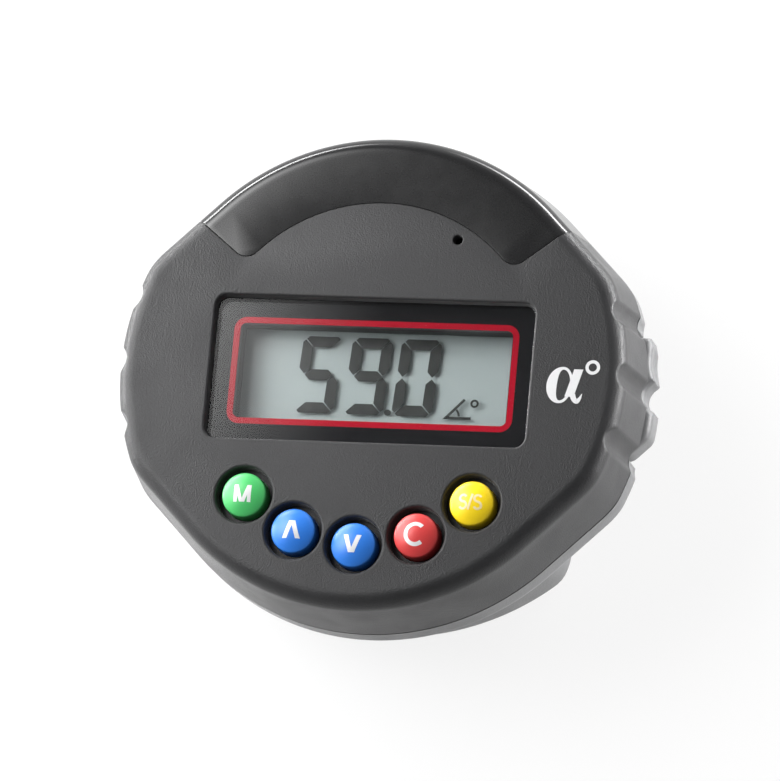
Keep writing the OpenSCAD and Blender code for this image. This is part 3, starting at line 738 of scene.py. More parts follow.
def ray_to_disc(ray, centre, radius, leaving):
    """Distance along rays from the hub to a circle: where they leave it, or where they first enter it."""
    to_centre = np.asarray(centre) - TAB_HUB
    along = ray @ to_centre
    room = radius**2 - (to_centre @ to_centre - along**2)
    reach = along + (1 if leaving else -1) * np.sqrt(np.maximum(room, 0))
    return np.where((room > 0) & (reach > 0), reach, 99.0)


def tab_loop(ray, z, inset=0):
    """Outline of the tab at one height along the given rays, every outer bound moved in by the inset."""
    slant = np.array([1, -1]) / math.sqrt(2)
    corner_x = math.sqrt(TAB_R**2 - TAB_Y[0] ** 2)
    cut = np.array([corner_x, TAB_Y[0]]) @ slant - TAB_SLANT / math.sqrt(2)
    groove = (TAB_R - TAB_GROOVE_DEPTH + GROOVE_R) * turned(np.array(math.asin(GROOVE_MID / FLANK_R)))
    dimple = (TAB_R + DIMPLE_R - DIMPLE_DEPTH) * turned(np.array(math.asin(DIMPLE_Y / FLANK_R)))
    dimple_r = math.sqrt(DIMPLE_R**2 - (z - TAB_Z.mean()) ** 2)
    reach = ray_to_disc(ray, (0, 0), TAB_R - inset, True)
    bounds = [ray_to_line(ray, (0, 1), TAB_Y[1] - inset), ray_to_line(ray, (0, -1), -TAB_Y[0] - inset)]
    bounds += [ray_to_line(ray, (-1, 0), -TAB_X), ray_to_line(ray, slant, cut - inset)]
    bounds += [ray_to_disc(ray, groove, GROOVE_R + inset, False)]
    bounds += [ray_to_disc(ray, dimple, dimple_r + inset, False)]
    for bound in bounds:
        reach = soft_min(reach, bound, TAB_SOFT)
    return TAB_HUB + reach[:, None] * ray


def even_rays(count=260):
    """Rays whose ends lie at even steps along the outline."""
    dense = np.linspace(0, 2 * math.pi, 3601)
    loop = tab_loop(turned(dense), TAB_Z.mean())
    travel = np.concatenate([[0], np.cumsum(np.linalg.norm(np.diff(loop, axis=0), axis=1))])
    return turned(np.interp(np.arange(count) * travel[-1] / count, travel, dense))


def squeeze_tab(name, sign):
    """Thumb tab with round edges, its slide, flange, leg and hook. sign -1 mirrors it to the left flank."""
    skin = Skin()
    ray = even_rays()
    turn = np.linspace(0, math.pi / 2, 6)
    low = [(TAB_EDGE * (1 - math.sin(a)), TAB_Z[0] + TAB_EDGE * (1 - math.cos(a))) for a in turn]
    brow = [(TAB_BROW[0] * (1 - math.cos(a)), TAB_Z[1] - TAB_BROW[1] * (1 - math.sin(a))) for a in turn]
    middle = np.linspace(TAB_Z[0] + TAB_EDGE, TAB_Z[1] - TAB_BROW[1], 8)[1:-1]
    rows = [(TAB_EDGE + 0.1, TAB_Z[0])] + low + [(0, z) for z in middle] + brow
    rows += [(TAB_BROW[0] + 0.1, TAB_Z[1])]
    loops = [at_height(tab_loop(ray, z, inset), z) for inset, z in rows]
    middles = [at_height(np.repeat(TAB_HUB[None], len(ray), axis=0), z) for z in TAB_Z]
    skin.grid(np.stack([middles[0]] + loops + [middles[1]]), wrap=True)
    flange_y = np.array([tab_low[1], tab_high[1]])
    hook_z = tab_low[2]
    slab(skin, (FLANGE_X[0], flange_y[0], SLIDE_Z[0]), (FLANGE_X[1], flange_y[1], SLIDE_Z[1]))
    slab(skin, (LEG_X[0], SLIDE_Y[0], SLIDE_Z[0]), (FLANGE_X[0] + 0.3, SLIDE_Y[1], SLIDE_Z[1]))
    slab(skin, (LEG_X[0], HOOK_Y[0] + 0.1, hook_z + 0.5), (LEG_X[1], HOOK_Y[1] - 0.1, SLIDE_Z[0] + 0.3))
    slab(skin, (LEG_X[0], HOOK_Y[0], hook_z), (LEG_X[1] + HOOK_REACH, HOOK_Y[1], hook_z + HOOK_H))
    skin.mirror(sign)
    return skin.build(name)


FLANKS = {"left": -1, "right": 1}
tabs = {side_name: squeeze_tab(f"{side_name}_tab", sign) for side_name, sign in FLANKS.items()}

# %% [markdown]
# ## Latch springs
# Two small coil springs push each tab out. A coil is a wire carried along a helix. It is drawn at rest.

# %% Make the springs
COIL_TURNS = 4
WIRE_R = 0.25
COIL_R = (spring_high[2] - spring_low[2]) / 2


def coil(skin, y):
    """Helix x = length * turn, with rings of the wire's radius across it, closed at both ends."""
    turn = np.linspace(0, COIL_TURNS, 24 * COIL_TURNS + 1)[:, None]
    outward = np.concatenate([0 * turn, turned(2 * math.pi * turn[:, 0])], axis=1)
    along = spring_low[0] + WIRE_R + turn / COIL_TURNS * (spring_high[0] - spring_low[0] - 2 * WIRE_R)
    middle = (spring_low[2] + spring_high[2]) / 2
    path = (COIL_R - WIRE_R) * outward + np.concatenate([along, 0 * along + y, 0 * along + middle], axis=1)
    ring = WIRE_R * turned(np.arange(10) * 2 * math.pi / 10)
    surface = path[:, None] + ring[:, :1] * outward[:, None] + ring[:, 1:] * np.array([1, 0, 0])
    skin.grid(surface, wrap=True)
    skin.polygon(surface[0])
    skin.polygon(surface[-1])


def spring_pair(name, sign):
    """The two coils behind one tab. sign -1 mirrors them to the left flank."""
    skin = Skin()
    for y in (spring_low[1] + COIL_R, spring_high[1] - COIL_R):
        coil(skin, y)
    skin.mirror(sign)
    return skin.build(name)


springs = {side_name: spring_pair(f"{side_name}_spring", sign) for side_name, sign in FLANKS.items()}

# %% [markdown]
# ## Buttons
# Each button is turned from one profile: a stem into its switch, a flange that stops it under the face, and
# a domed cap with a rounded shoulder. The dome is part of a sphere, so its height above any point is known,
# and the printed legends can be laid on it.

# %% Make the buttons
CAP_R = 3.5
CAP_SHOULDER = 0.5
CAP_DOME = 1.2
STEM_R = 1.6
FLANGE_R = 4.4
FLANGE_T = 1.2
FLANGE_PLAY = 0.05
DOME_R = (CAP_R**2 + CAP_DOME**2) / (2 * CAP_DOME)
CAP_TOP = span("mode_button")[1][2]


def button_cap(name, place, z_stem):
    """Profile from the stem up over the flange, the side, the shoulder arc and the dome to the middle."""
    z_flange = Z_FACE - WELL_DEPTH - GUIDE_T - FLANGE_PLAY
    lean = math.asin((CAP_R - CAP_SHOULDER) / (DOME_R - CAP_SHOULDER))
    shoulder = np.linspace(math.pi / 2, lean, 9)
    dome = np.linspace(lean, 0, 14)[1:]
    z_dome = CAP_TOP - DOME_R
    z_shoulder = z_dome + (DOME_R - CAP_SHOULDER) * math.cos(lean)
    rows = [[0, z_stem], [STEM_R - 0.2, z_stem], [STEM_R, z_stem + 0.2], [STEM_R, z_flange - FLANGE_T]]
    rows += [[FLANGE_R, z_flange - FLANGE_T], [FLANGE_R, z_flange], [CAP_R, z_flange]]
    rows += np.column_stack([CAP_R - CAP_SHOULDER + CAP_SHOULDER * np.sin(shoulder),
                             z_shoulder + CAP_SHOULDER * np.cos(shoulder)]).tolist()
    rows += np.column_stack([DOME_R * np.sin(dome), z_dome + DOME_R * np.cos(dome)]).tolist()
    skin = Skin()
    skin.grid(revolve(place, rows, 96), wrap=True)
    return skin.build(name)


def dome_height(offset):
    """Height of the dome over points given from a button's centre."""
    return CAP_TOP - DOME_R + np.sqrt(DOME_R**2 - (offset**2).sum(axis=-1))


caps = {key: button_cap(f"{key}_cap", key_place[key], span(f"{key}_button")[0][2]) for key in KEYS}

# %% [markdown]
# ## Printed marks
# Legends and symbols are thin layers of paint. Each one is a ribbon: a path with a width at every point,
# laid on the face or on a button's dome, with a lower copy that closes it just under the surface.

# %% Lay ribbons of paint
PAINT_T = 0.02
LEVEL = np.array([1.0, 0.0])


def smooth(points, count=60):
    """Catmull-Rom curve through points: each stretch blends the four points round it."""
    points = np.asarray(points, float)
    padded = np.concatenate([2 * points[:1] - points[1:2], points, 2 * points[-1:] - points[-2:-1]])
    place = np.linspace(0, len(points) - 1, count)
    k = np.minimum(place.astype(int), len(points) - 2)
    t = (place - k)[:, None]
    a, b, c, d = (padded[k + i] for i in range(4))
    return 0.5 * (2 * b + (c - a) * t + (2 * a - 5 * b + 4 * c - d) * t**2 + (3 * b - a - 3 * c + d) * t**3)


def straight(points, count=60):
    """Even steps along straight stretches, with every corner kept."""
    points = np.asarray(points, float)
    travel = np.concatenate([[0], np.cumsum(np.linalg.norm(np.diff(points, axis=0), axis=1))])
    place = np.union1d(np.linspace(0, travel[-1], count), travel)
    return np.column_stack([np.interp(place, travel, points[:, axis]) for axis in range(2)])


def ribbon(skin, path, width, height_at, closed=False, across=None, layer=1.0):
    """Ribbon along a path, with edges at path +- width/2 across the mean direction, lengthened at corners.
    across fixes that direction, which cuts both ends off level. layer lifts one stroke over another."""
    width = np.broadcast_to(np.asarray(width, float), (len(path),))
    if closed:
        before, after = path - np.roll(path, 1, axis=0), np.roll(path, -1, axis=0) - path
    else:
        step = np.diff(path, axis=0)
        before, after = np.concatenate([step[:1], step]), np.concatenate([step, step[-1:]])
    before = before / np.linalg.norm(before, axis=1, keepdims=True)
    after = after / np.linalg.norm(after, axis=1, keepdims=True)
    mean = before + after
    mean = mean / np.linalg.norm(mean, axis=1, keepdims=True)
    stretch = 1 / np.maximum((mean * after).sum(axis=1), 0.35)
    if across is None:
        across = np.column_stack([-mean[:, 1], mean[:, 0]]) * stretch[:, None]
    offset = np.asarray(across) * width[:, None] / 2
    left, right = path + offset, path - offset
    top = layer * PAINT_T
    rows = [(left, -PAINT_T), (left, top), (right, top), (right, -PAINT_T), (left, -PAINT_T)]
    surface = np.stack([np.column_stack([line, height_at(line) + lift]) for line, lift in rows])
    skin.grid(surface, wrap=closed)
    if not closed:
        skin.polygon(surface[:-1, 0])
        skin.polygon(surface[:-1, -1])


def on_face(line):
    """Height of the flat face under every point."""
    return np.full(len(line), Z_FACE)


def ellipse(centre, radii, count=72):
    """Closed ellipse as a row of points."""
    return np.asarray(centre) + np.asarray(radii) * turned(np.arange(count) * 2 * math.pi / count)


# %% [markdown]
# ## Angle symbol
# The sign on the right of the display is a bold italic alpha with a degree ring. The bowl is an ellipse
# whose stroke is wide on the left and narrow elsewhere. A slanted stem and a small tail cross its right side.

# %% Draw the angle symbol
ALPHA_AT = np.array([31.1, -1.35])
RING_AT = np.array([35.25, 1.6])
BOWL_AT = np.array([-0.54, 0.0])
BOWL = np.array([1.54, 2.67])
BOWL_SLANT = 0.06
STEM = np.array([[1.99, 2.56], [0.8, -1.8]])
STEM_W = 1.42
TAIL = np.array([[1.3, -1.5], [1.62, -2.2], [2.08, -2.52], [2.5, -2.03], [2.8, -1.3]])
TAIL_W = np.array([0.9, 0.8, 0.72, 0.45, 0.08])
RING_R = 0.9
RING_W = 0.5


def angle_symbol():
    """Bowl, stem, tail and ring as ribbons on the face, each layer a little over the one it crosses."""
    skin = Skin()
    bowl = ellipse(BOWL_AT, BOWL)
    leftness = np.clip((BOWL_AT[0] - bowl[:, 0]) / BOWL[0], 0, 1)
    bowl[:, 0] += BOWL_SLANT * bowl[:, 1]
    ribbon(skin, ALPHA_AT + bowl, 0.42 + 1.2 * leftness**1.6, on_face, closed=True)
    ribbon(skin, ALPHA_AT + straight(STEM, 8), STEM_W, on_face, across=LEVEL, layer=1.4)
    tail = smooth(np.column_stack([TAIL, TAIL_W]), 30)
    ribbon(skin, ALPHA_AT + tail[:, :2], np.maximum(tail[:, 2], 0.06), on_face, layer=1.8)
    ribbon(skin, ellipse(RING_AT, (RING_R, RING_R), 48), RING_W, on_face, closed=True)
    return skin.build("angle_symbol")


symbol = angle_symbol()

# %% [markdown]
# ## Button legends
# The letters and arrows are strokes of even width. Their heights come from the dome under them, so they
# curve with the button and move with it.

# %% Draw the legends
LETTER_W = 0.55
ARROW_W = 0.72
THIN_W = 0.36


def arc(centre, radii, first, last, count=24):
    """Part of an ellipse, with angles in degrees."""
    return np.asarray(centre) + np.asarray(radii) * turned(np.radians(np.linspace(first, last, count)))


def letter_s(at):
    """Letter S: three quarters of an upper ellipse, then three quarters of a lower one the other way."""
    upper = arc(at + np.array([0, 0.55]), (0.52, 0.52), 25, 250, 16)
    lower = arc(at + np.array([0, -0.55]), (0.55, 0.55), 80, -155, 16)
    return np.concatenate([upper, lower])


def legs(foot, head, width, feet_at):
    """Two mirrored slanted strokes with level ends, from x = foot to x = head, starting at y = feet_at."""
    strokes = [straight([(sign * foot, feet_at), (sign * head, -feet_at)], 30) for sign in (-1, 1)]
    return [(stroke, width, LEVEL) for stroke in strokes]


def posts(x, half, width):
    """Two upright strokes at x and -x."""
    strokes = [straight([(sign * x, -half), (sign * x, half)], 30) for sign in (-1, 1)]
    return [(stroke, width, LEVEL) for stroke in strokes]


LEGENDS = {
    "mode": posts(1.08, 1.35, LETTER_W) + legs(0.12, 1.02, LETTER_W + 0.05, -1.35),
    "up": legs(1.05, 0.12, ARROW_W, -1.4),
    "down": legs(1.05, 0.12, ARROW_W, 1.4),
    "clear": [(arc((0.1, 0), (1.5, 1.6), 48, 312, 48), 0.62, None)],
    "start": [(letter_s(np.array([-1.15, 0])), THIN_W, None), (letter_s(np.array([1.15, 0])), THIN_W, None),
              (straight([(-0.3, -1.25), (0.3, 1.25)]), THIN_W, None)],
}


def legend(key):
    """All strokes of one button, each a little higher than the one before, so that crossings stay clean."""
    skin = Skin()
    place = key_place[key]
    for k, (path, width, across) in enumerate(LEGENDS[key]):
        height_at = lambda edge: dome_height(edge - place)
        ribbon(skin, place + path, width, height_at, across=across, layer=1 + 0.3 * k)
    return skin.build(f"{key}_legend")


legends = {key: legend(key) for key in KEYS}

# %% [markdown]
# ## Display
# Behind the clear pane lies a printed film with a red line, and some millimetres below it the display
# glass. Its dark segments sit on the top of the glass and throw their shadow on the reflector under it,
# which gives the figures their soft double edge.

# %% Pane and red line
FILM_GAP = 0.06
RED_LINE = np.array([44.5, 16.15])
RED_LINE_W = 0.95
RED_LINE_CORNER = 1.5
GLASS_T = 0.75


def clear_pane():
    """Slab over the whole recess, lifted off the printed film by a thin gap."""
    skin = Skin()
    slab(skin, pane_low + np.array([0, 0, FILM_GAP]), pane_high, WINDOW_CORNER - WINDOW_GAP, 0.12)
    return skin.build("clear_pane")


def red_line():
    """Flat ring between two rounded rectangles, printed on the film."""
    skin = Skin()
    half = RED_LINE_W / 2
    loops = []
    for grow, lift in ((half, -0.01), (half, PAINT_T), (-half, PAINT_T), (-half, -0.01), (half, -0.01)):
        loop = rect_loop(*(RED_LINE + 2 * grow), RED_LINE_CORNER + grow)
        loops.append(at_height(loop, mask_high[2] + lift))
    skin.grid(np.stack(loops), wrap=True)
    return skin.build("red_line")


def display_slab(name, z_low, z_high):
    """Slab as large as the display, between two heights."""
    skin = Skin()
    slab(skin, (*lcd_low[:2], z_low), (*lcd_high[:2], z_high), 0.3, 0.08)
    return skin.build(name)


pane = clear_pane()
red_ring = red_line()
reflector = display_slab("display_reflector", lcd_low[2], lcd_high[2] - GLASS_T - 0.02)
glass = display_slab("display_cover_glass", lcd_high[2] - GLASS_T, lcd_high[2] - PAINT_T)

# %% [markdown]
# ## Figures
# A figure has seven segments. Each one is a convex outline that touches its neighbours along slanted ends.
# Moving every edge inwards by the same small distance opens the even gaps between them.

# %% Draw the figures
FIGURE = np.array([6.65, 12.5])
STROKE = 1.9
CHAMFER = 1.0
SEGMENT_GAP = 0.17
SLANT = math.tan(math.radians(3.5))
FIGURE_X = (-9.65, -1.75, 6.1)
FIGURE_Y = 0.7
SEGMENTS_OF = {"5": "afgcd", "9": "abcdfg", "0": "abcdef"}
READING = "590"
DOT_AT = np.array([1.9, -5.0])
ANGLE_MARK = [(14.0, -2.5), (11.2, -5.5), (15.2, -5.5)]
DEGREE_AT = (15.6, -3.1)


def segment(name):
    """Corners of one segment of a figure, counterclockwise, from its lower left corner."""
    (w, h), t, c = FIGURE, STROKE, CHAMFER
    point = h / 2 + 0.55 * t
    top = [(c / 2, h - c / 2), (t, h - t), (w - t, h - t), (w - c / 2, h - c / 2), (w - c, h), (c, h)]
    left = [(0, point), (t / 2, h / 2), (t, h / 2 + t / 2), (t, h - t), (c / 2, h - c / 2), (0, h - c)]
    middle = [(t / 2, h / 2), (t, h / 2 - t / 2), (w - t, h / 2 - t / 2), (w - t / 2, h / 2),
              (w - t, h / 2 + t / 2), (t, h / 2 + t / 2)]
    shape, flip_x, flip_y = {"a": (top, 0, 0), "d": (top, 0, 1), "f": (left, 0, 0), "e": (left, 0, 1),
                             "b": (left, 1, 0), "c": (left, 1, 1), "g": (middle, 0, 0)}[name]
    corners = np.array(shape, float)
    if flip_x:
        corners = corners * (-1, 1) + (w, 0)
    if flip_y:
        corners = corners * (1, -1) + (0, h)
    return corners[::-1] if flip_x != flip_y else corners


def shrink(corners, distance):
    """Convex outline with each edge moved inwards: every new corner is where two moved edges meet."""
    step = np.roll(corners, -1, axis=0) - corners
    inward = np.column_stack([-step[:, 1], step[:, 0]]) / np.linalg.norm(step, axis=1, keepdims=True)
    level = (corners * inward).sum(axis=1) + distance
    pairs = np.stack([np.roll(inward, 1, axis=0), inward], axis=1)
    return np.linalg.solve(pairs, np.stack([np.roll(level, 1), level], axis=1)[..., None])[..., 0]


def figures():
    """Every segment as a thin prism on the glass, leaning by SLANT, with the dot and the angle mark."""
    skin = Skin()
    low, high = lcd_high[2] - PAINT_T, lcd_high[2]
    outlines = []
    for figure, x in zip(READING, FIGURE_X):
        for name in SEGMENTS_OF[figure]:
            corners = shrink(segment(name), SEGMENT_GAP / 2) - FIGURE / 2
            corners[:, 0] += SLANT * corners[:, 1]
            outlines.append(corners + (x, FIGURE_Y))
    outlines.append(ellipse(DOT_AT, (0.55, 0.5), 20))
    for corners in outlines:
        skin.grid(np.stack([at_height(corners, low), at_height(corners, high)]), wrap=True)
        skin.polygon(at_height(corners, low))
        skin.polygon(at_height(corners, high))
    on_glass = lambda path: np.full(len(path), lcd_high[2] - PAINT_T)
    ribbon(skin, straight(ANGLE_MARK, 20), 0.42, on_glass)
    ribbon(skin, arc(ANGLE_MARK[1], (2.1, 2.1), 8, 40, 10), 0.34, on_glass)
    ribbon(skin, ellipse(DEGREE_AT, (0.5, 0.5), 24), 0.34, on_glass, closed=True)
    return skin.build("display_figures")


reading = figures()

# %% [markdown]
# ## Finishes
# Every moulded part has a fine spark-eroded texture, and every touched part has faint smudges. Both are
# built once as shader node groups. A material then sets its own colour, gloss and scale.

# %% Helpers for materials and the shared groups
def add(tree, kind, inputs, **settings):
    """New shader node. An input that is a socket is linked, any other value is set."""
    made = tree.nodes.new("ShaderNode" + kind)
    for name, value in settings.items():
        setattr(made, name, value)
    for name, value in inputs.items():
        if isinstance(value, bpy.types.NodeSocket):
            tree.links.new(value, made.inputs[name])
        else:
            made.inputs[name].default_value = value
    return made


def new_group(name, inputs, outputs):
    """Empty node group with number sockets. Returns its tree, its inputs and its output node."""
    tree = bpy.data.node_groups.new(name, "ShaderNodeTree")
    for label, value in inputs.items():
        tree.interface.new_socket(label, in_out="INPUT", socket_type="NodeSocketFloat").default_value = value
    for label in outputs:
        tree.interface.new_socket(label, in_out="OUTPUT", socket_type="NodeSocketFloat")
    return tree, tree.nodes.new("NodeGroupInput").outputs, tree.nodes.new("NodeGroupOutput")


def grain_group():
    """Height: fine noise, mixed with small pits from the distance to scattered points.
    Tone: slow clouds, mixed with fine specks."""
    tree, value, out = new_group("moulded_grain", {"Scale": 3000.0}, ("Height", "Tone"))
    place = add(tree, "TexCoord", {}).outputs["Object"]
    fine = add(tree, "TexNoise", {"Vector": place, "Scale": value["Scale"], "Detail": 2.0, "Roughness": 0.6})
    pits = add(tree, "TexVoronoi", {"Vector": place, "Scale": value["Scale"]})
    speck = add(tree, "TexNoise", {"Vector": place, "Scale": 3600.0, "Detail": 1.0})
    cloud = add(tree, "TexNoise", {"Vector": place, "Scale": 60.0, "Detail": 3.0})
    height = add(tree, "Mix", {"Factor": 0.5, "A": fine.outputs[0], "B": pits.outputs["Distance"]})
    tone = add(tree, "Mix", {"Factor": 0.65, "A": cloud.outputs[0], "B": speck.outputs[0]})
    tree.links.new(height.outputs[0], out.inputs["Height"])
    tree.links.new(tone.outputs[0], out.inputs["Tone"])
    return tree


def smudge_group():
    """Mask of faint finger marks: broad noise, sharpened between two levels."""
    tree, value, out = new_group("handling_smudge", {"Scale": 120.0}, ("Mask",))
    place = add(tree, "TexCoord", {}).outputs["Object"]
    broad = add(tree, "TexNoise", {"Vector": place, "Scale": value["Scale"], "Detail": 4.0,
                                   "Distortion": 0.6})
    mask = add(tree, "MapRange", {"Value": broad.outputs[0], "From Min": 0.38, "From Max": 0.68})
    tree.links.new(mask.outputs[0], out.inputs["Mask"])
    return tree


grain = grain_group()
smudge = smudge_group()


def new_material(name):
    """Material with one Principled shader. Returns it with its tree and that shader."""
    material = bpy.data.materials.new(name)
    material.use_nodes = True
    tree = material.node_tree
    tree.nodes.clear()
    shader = add(tree, "BsdfPrincipled", {})
    add(tree, "OutputMaterial", {"Surface": shader.outputs[0]})
    return material, tree, shader


def shade(tree, shader, colour, low, high, mask, socket="Base Color"):
    """Colour between low and high times the given one, by a mask."""
    dark = [low * c for c in colour] + [1]
    light = [min(high * c, 1) for c in colour] + [1]
    mixed = add(tree, "Mix", {6: dark, 7: light, "Factor": mask}, data_type="RGBA")
    tree.links.new(mixed.outputs[2], shader.inputs[socket])


def gloss(tree, shader, low, high, mask):
    """Roughness between low and high, by a mask."""
    made = add(tree, "MapRange", {"Value": mask, "To Min": low, "To Max": high})
    tree.links.new(made.outputs[0], shader.inputs["Roughness"])


def relief(tree, shader, height, depth, strength):
    """Bump of a height from 0 to 1, with its depth in millimetres."""
    bump = add(tree, "Bump", {"Height": height, "Distance": depth * MM, "Strength": strength})
    tree.links.new(bump.outputs[0], shader.inputs["Normal"])


def use(tree, group_tree, **inputs):
    """Places a node group in a material."""
    made = tree.nodes.new("ShaderNodeGroup")
    made.node_tree = group_tree
    for name, value in inputs.items():
        made.inputs[name].default_value = value
    return made.outputs


print("node groups:", grain.name, smudge.name)

# %% [markdown]
# ## Plastics, paint and glass
# The case is matt with a visible grain, the buttons and the lens are polished, and paint lies between. Glass
# lets light straight through in shadows, because a display under a pane would otherwise stay black.

# %% Make the plastics, paints and glass
def moulded(name, colour, roughness, scale=4300.0, depth=0.07, strength=0.9, sheen=0.0, specular=0.5):
    """Textured plastic: grain in the relief and the tone, smudges in the gloss, and a haze at flat angles."""
    material, tree, shader = new_material(name)
    surface = use(tree, grain, Scale=scale)
    shade(tree, shader, colour, 0.6, 1.4, surface["Tone"])
    gloss(tree, shader, roughness - 0.06, roughness + 0.06, use(tree, smudge)["Mask"])
    relief(tree, shader, surface["Height"], depth, strength)
    shader.inputs["Sheen Weight"].default_value = sheen
    shader.inputs["Sheen Roughness"].default_value = 0.4
    shader.inputs["Specular IOR Level"].default_value = specular
    return material


def polished(name, colour, roughness, specular=0.5):
    """Glossy plastic: smudges in the gloss, a slight wave in the relief and a trace of tone."""
    material, tree, shader = new_material(name)
    mask = use(tree, smudge, Scale=260.0)["Mask"]
    shade(tree, shader, colour, 0.94, 1.05, use(tree, grain)["Tone"])
    gloss(tree, shader, roughness, roughness + 0.03, mask)
    relief(tree, shader, mask, 0.004, 0.3)
    shader.inputs["Specular IOR Level"].default_value = specular
    return material


def see_through(name, tint, roughness, ior):
    """Clear pane: refracts for the eye and is plainly transparent for shadow rays."""
    material, tree, shader = new_material(name)
    shade(tree, shader, tint, 0.99, 1.0, use(tree, smudge)["Mask"])
    gloss(tree, shader, roughness, roughness + 0.03, use(tree, smudge, Scale=200.0)["Mask"])
    shader.inputs["Transmission Weight"].default_value = 1.0
    shader.inputs["IOR"].default_value = ior
    through = add(tree, "BsdfTransparent", {"Color": (*tint, 1)})
    shadow = add(tree, "LightPath", {}).outputs["Is Shadow Ray"]
    mixed = add(tree, "MixShader", {0: shadow, 1: shader.outputs[0], 2: through.outputs[0]})
    tree.links.new(mixed.outputs[0], tree.nodes["Material Output"].inputs["Surface"])
    return material


white_paint = polished("white_paint", (0.74, 0.74, 0.75), 0.38)
pale_paint = polished("pale_paint", (0.86, 0.72, 0.4), 0.38)
red_paint = polished("red_print", (0.3, 0.001, 0.012), 0.3, specular=0.05)
ink = polished("display_ink", (0.016, 0.018, 0.017), 0.35, specular=0.3)
print("paints:", white_paint.name, pale_paint.name, red_paint.name, ink.name)

# %% [markdown]
# ## Metals and what lies inside
# The inner parts show only where the case is opened, but they are finished too: plated screws, bright spring
# wire, a green board with its traces, sleeved cells and gold contacts.

# %% Make the metals, the board and the table of finishes
def metal(name, colour, roughness, stretch=(1, 1, 1)):
    """Metal with fine drawn lines: noise stretched along the wire or the turning."""
    material, tree, shader = new_material(name)
    place = add(tree, "TexCoord", {}).outputs["Object"]
    drawn = add(tree, "Mapping", {"Vector": place, "Scale": stretch})
    lines = add(tree, "TexNoise", {"Vector": drawn.outputs[0], "Scale": 1500.0, "Detail": 3.0}).outputs[0]
    shade(tree, shader, colour, 0.88, 1.08, lines)
    gloss(tree, shader, roughness - 0.06, roughness + 0.1, lines)
    relief(tree, shader, lines, 0.006, 0.4)
    shader.inputs["Metallic"].default_value = 1.0
    return material


def circuit_board(name, colour):
    """Solder mask over copper traces: straight bands where two square patterns meet."""
    material, tree, shader = new_material(name)
    place = add(tree, "TexCoord", {}).outputs["Object"]
    traces = add(tree, "TexBrick", {"Vector": place, "Scale": 300.0, "Mortar Size": 0.03, "Bias": 0.0})
    shade(tree, shader, colour, 0.8, 1.5, traces.outputs["Fac"])
    gloss(tree, shader, 0.25, 0.35, use(tree, smudge)["Mask"])
    relief(tree, shader, traces.outputs["Fac"], 0.03, 0.5)
    return material


def cell_sleeve(name, colour):
    """Printed sleeve with a copper-coloured band near one end of each cell."""
    material, tree, shader = new_material(name)
    place = add(tree, "SeparateXYZ", {"Vector": add(tree, "TexCoord", {}).outputs["Object"]})
    band = add(tree, "Math", {0: place.outputs["X"], 1: 14 * MM}, operation="GREATER_THAN").outputs[0]
    mixed = add(tree, "Mix", {6: (*colour, 1), 7: (0.5, 0.33, 0.14, 1), "Factor": band}, data_type="RGBA")
    tree.links.new(mixed.outputs[2], shader.inputs["Base Color"])
    gloss(tree, shader, 0.25, 0.34, use(tree, smudge)["Mask"])
    return material


FINISH = {
    "charcoal_plastic": moulded("charcoal_plastic", (0.0215, 0.0215, 0.0228), 0.44,
                                sheen=0.16, specular=0.36),
    "grey_plastic": moulded("grey_plastic", (0.105, 0.106, 0.109), 0.44, 3200.0, 0.06, 0.6, sheen=0.2),
    "smoke_lens": polished("smoke_lens", (0.014, 0.014, 0.0145), 0.16),
    "clear_pane": see_through("clear_pane", (0.97, 0.98, 0.98), 0.0, 1.39),
    "black_print": polished("black_print", (0.008, 0.008, 0.009), 0.1, specular=0.1),
    "display_glass": polished("display_glass", (0.342, 0.37, 0.377), 0.5),
    "black_plastic": moulded("black_plastic", (0.012, 0.012, 0.013), 0.5),
    "black_rubber": moulded("black_rubber", (0.02, 0.02, 0.021), 0.7, 2000.0),
    "circuit_board": circuit_board("circuit_board", (0.02, 0.11, 0.045)),
    "led_red": polished("led_red", (0.5, 0.03, 0.02), 0.1),
    "switch_grey": moulded("switch_grey", (0.3, 0.31, 0.32), 0.5),
    "button_green": polished("button_green", (0.066, 0.48, 0.13), 0.36),
    "button_blue": polished("button_blue", (0.025, 0.19, 0.7), 0.36),
    "button_red": polished("button_red", (0.64, 0.05, 0.05), 0.36),
    "button_yellow": polished("button_yellow", (1.0, 0.7, 0.006), 0.36),
    "zinc_steel": metal("zinc_steel", (0.55, 0.56, 0.58), 0.3),
    "spring_steel": metal("spring_steel", (0.6, 0.61, 0.63), 0.22),
    "cell_sleeve": cell_sleeve("cell_sleeve", (0.05, 0.14, 0.3)),
    "gold_contact": metal("gold_contact", (0.75, 0.53, 0.22), 0.25),
    "magnet_nickel": metal("magnet_nickel", (0.58, 0.56, 0.53), 0.18),
}
display_cover = see_through("display_cover_glass", (0.92, 0.94, 0.93), 0.1, 1.3)
print("finishes:", len(FINISH))

# %% [markdown]
# ## Assembly
# Each new piece rides on the body that its solid belongs to and stands for that solid. The solids that stay
# get the finish of their slot. Each pair of springs gets a mesh of its own.

# %% Hand the pieces to the bodies
def attach(piece, body, material, *nodes):
    """Paints a piece, lets it ride on a body and hides the solids that it stands for."""
    piece.data.materials.append(material)
    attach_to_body(piece, body)
    if nodes:
        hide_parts(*nodes)


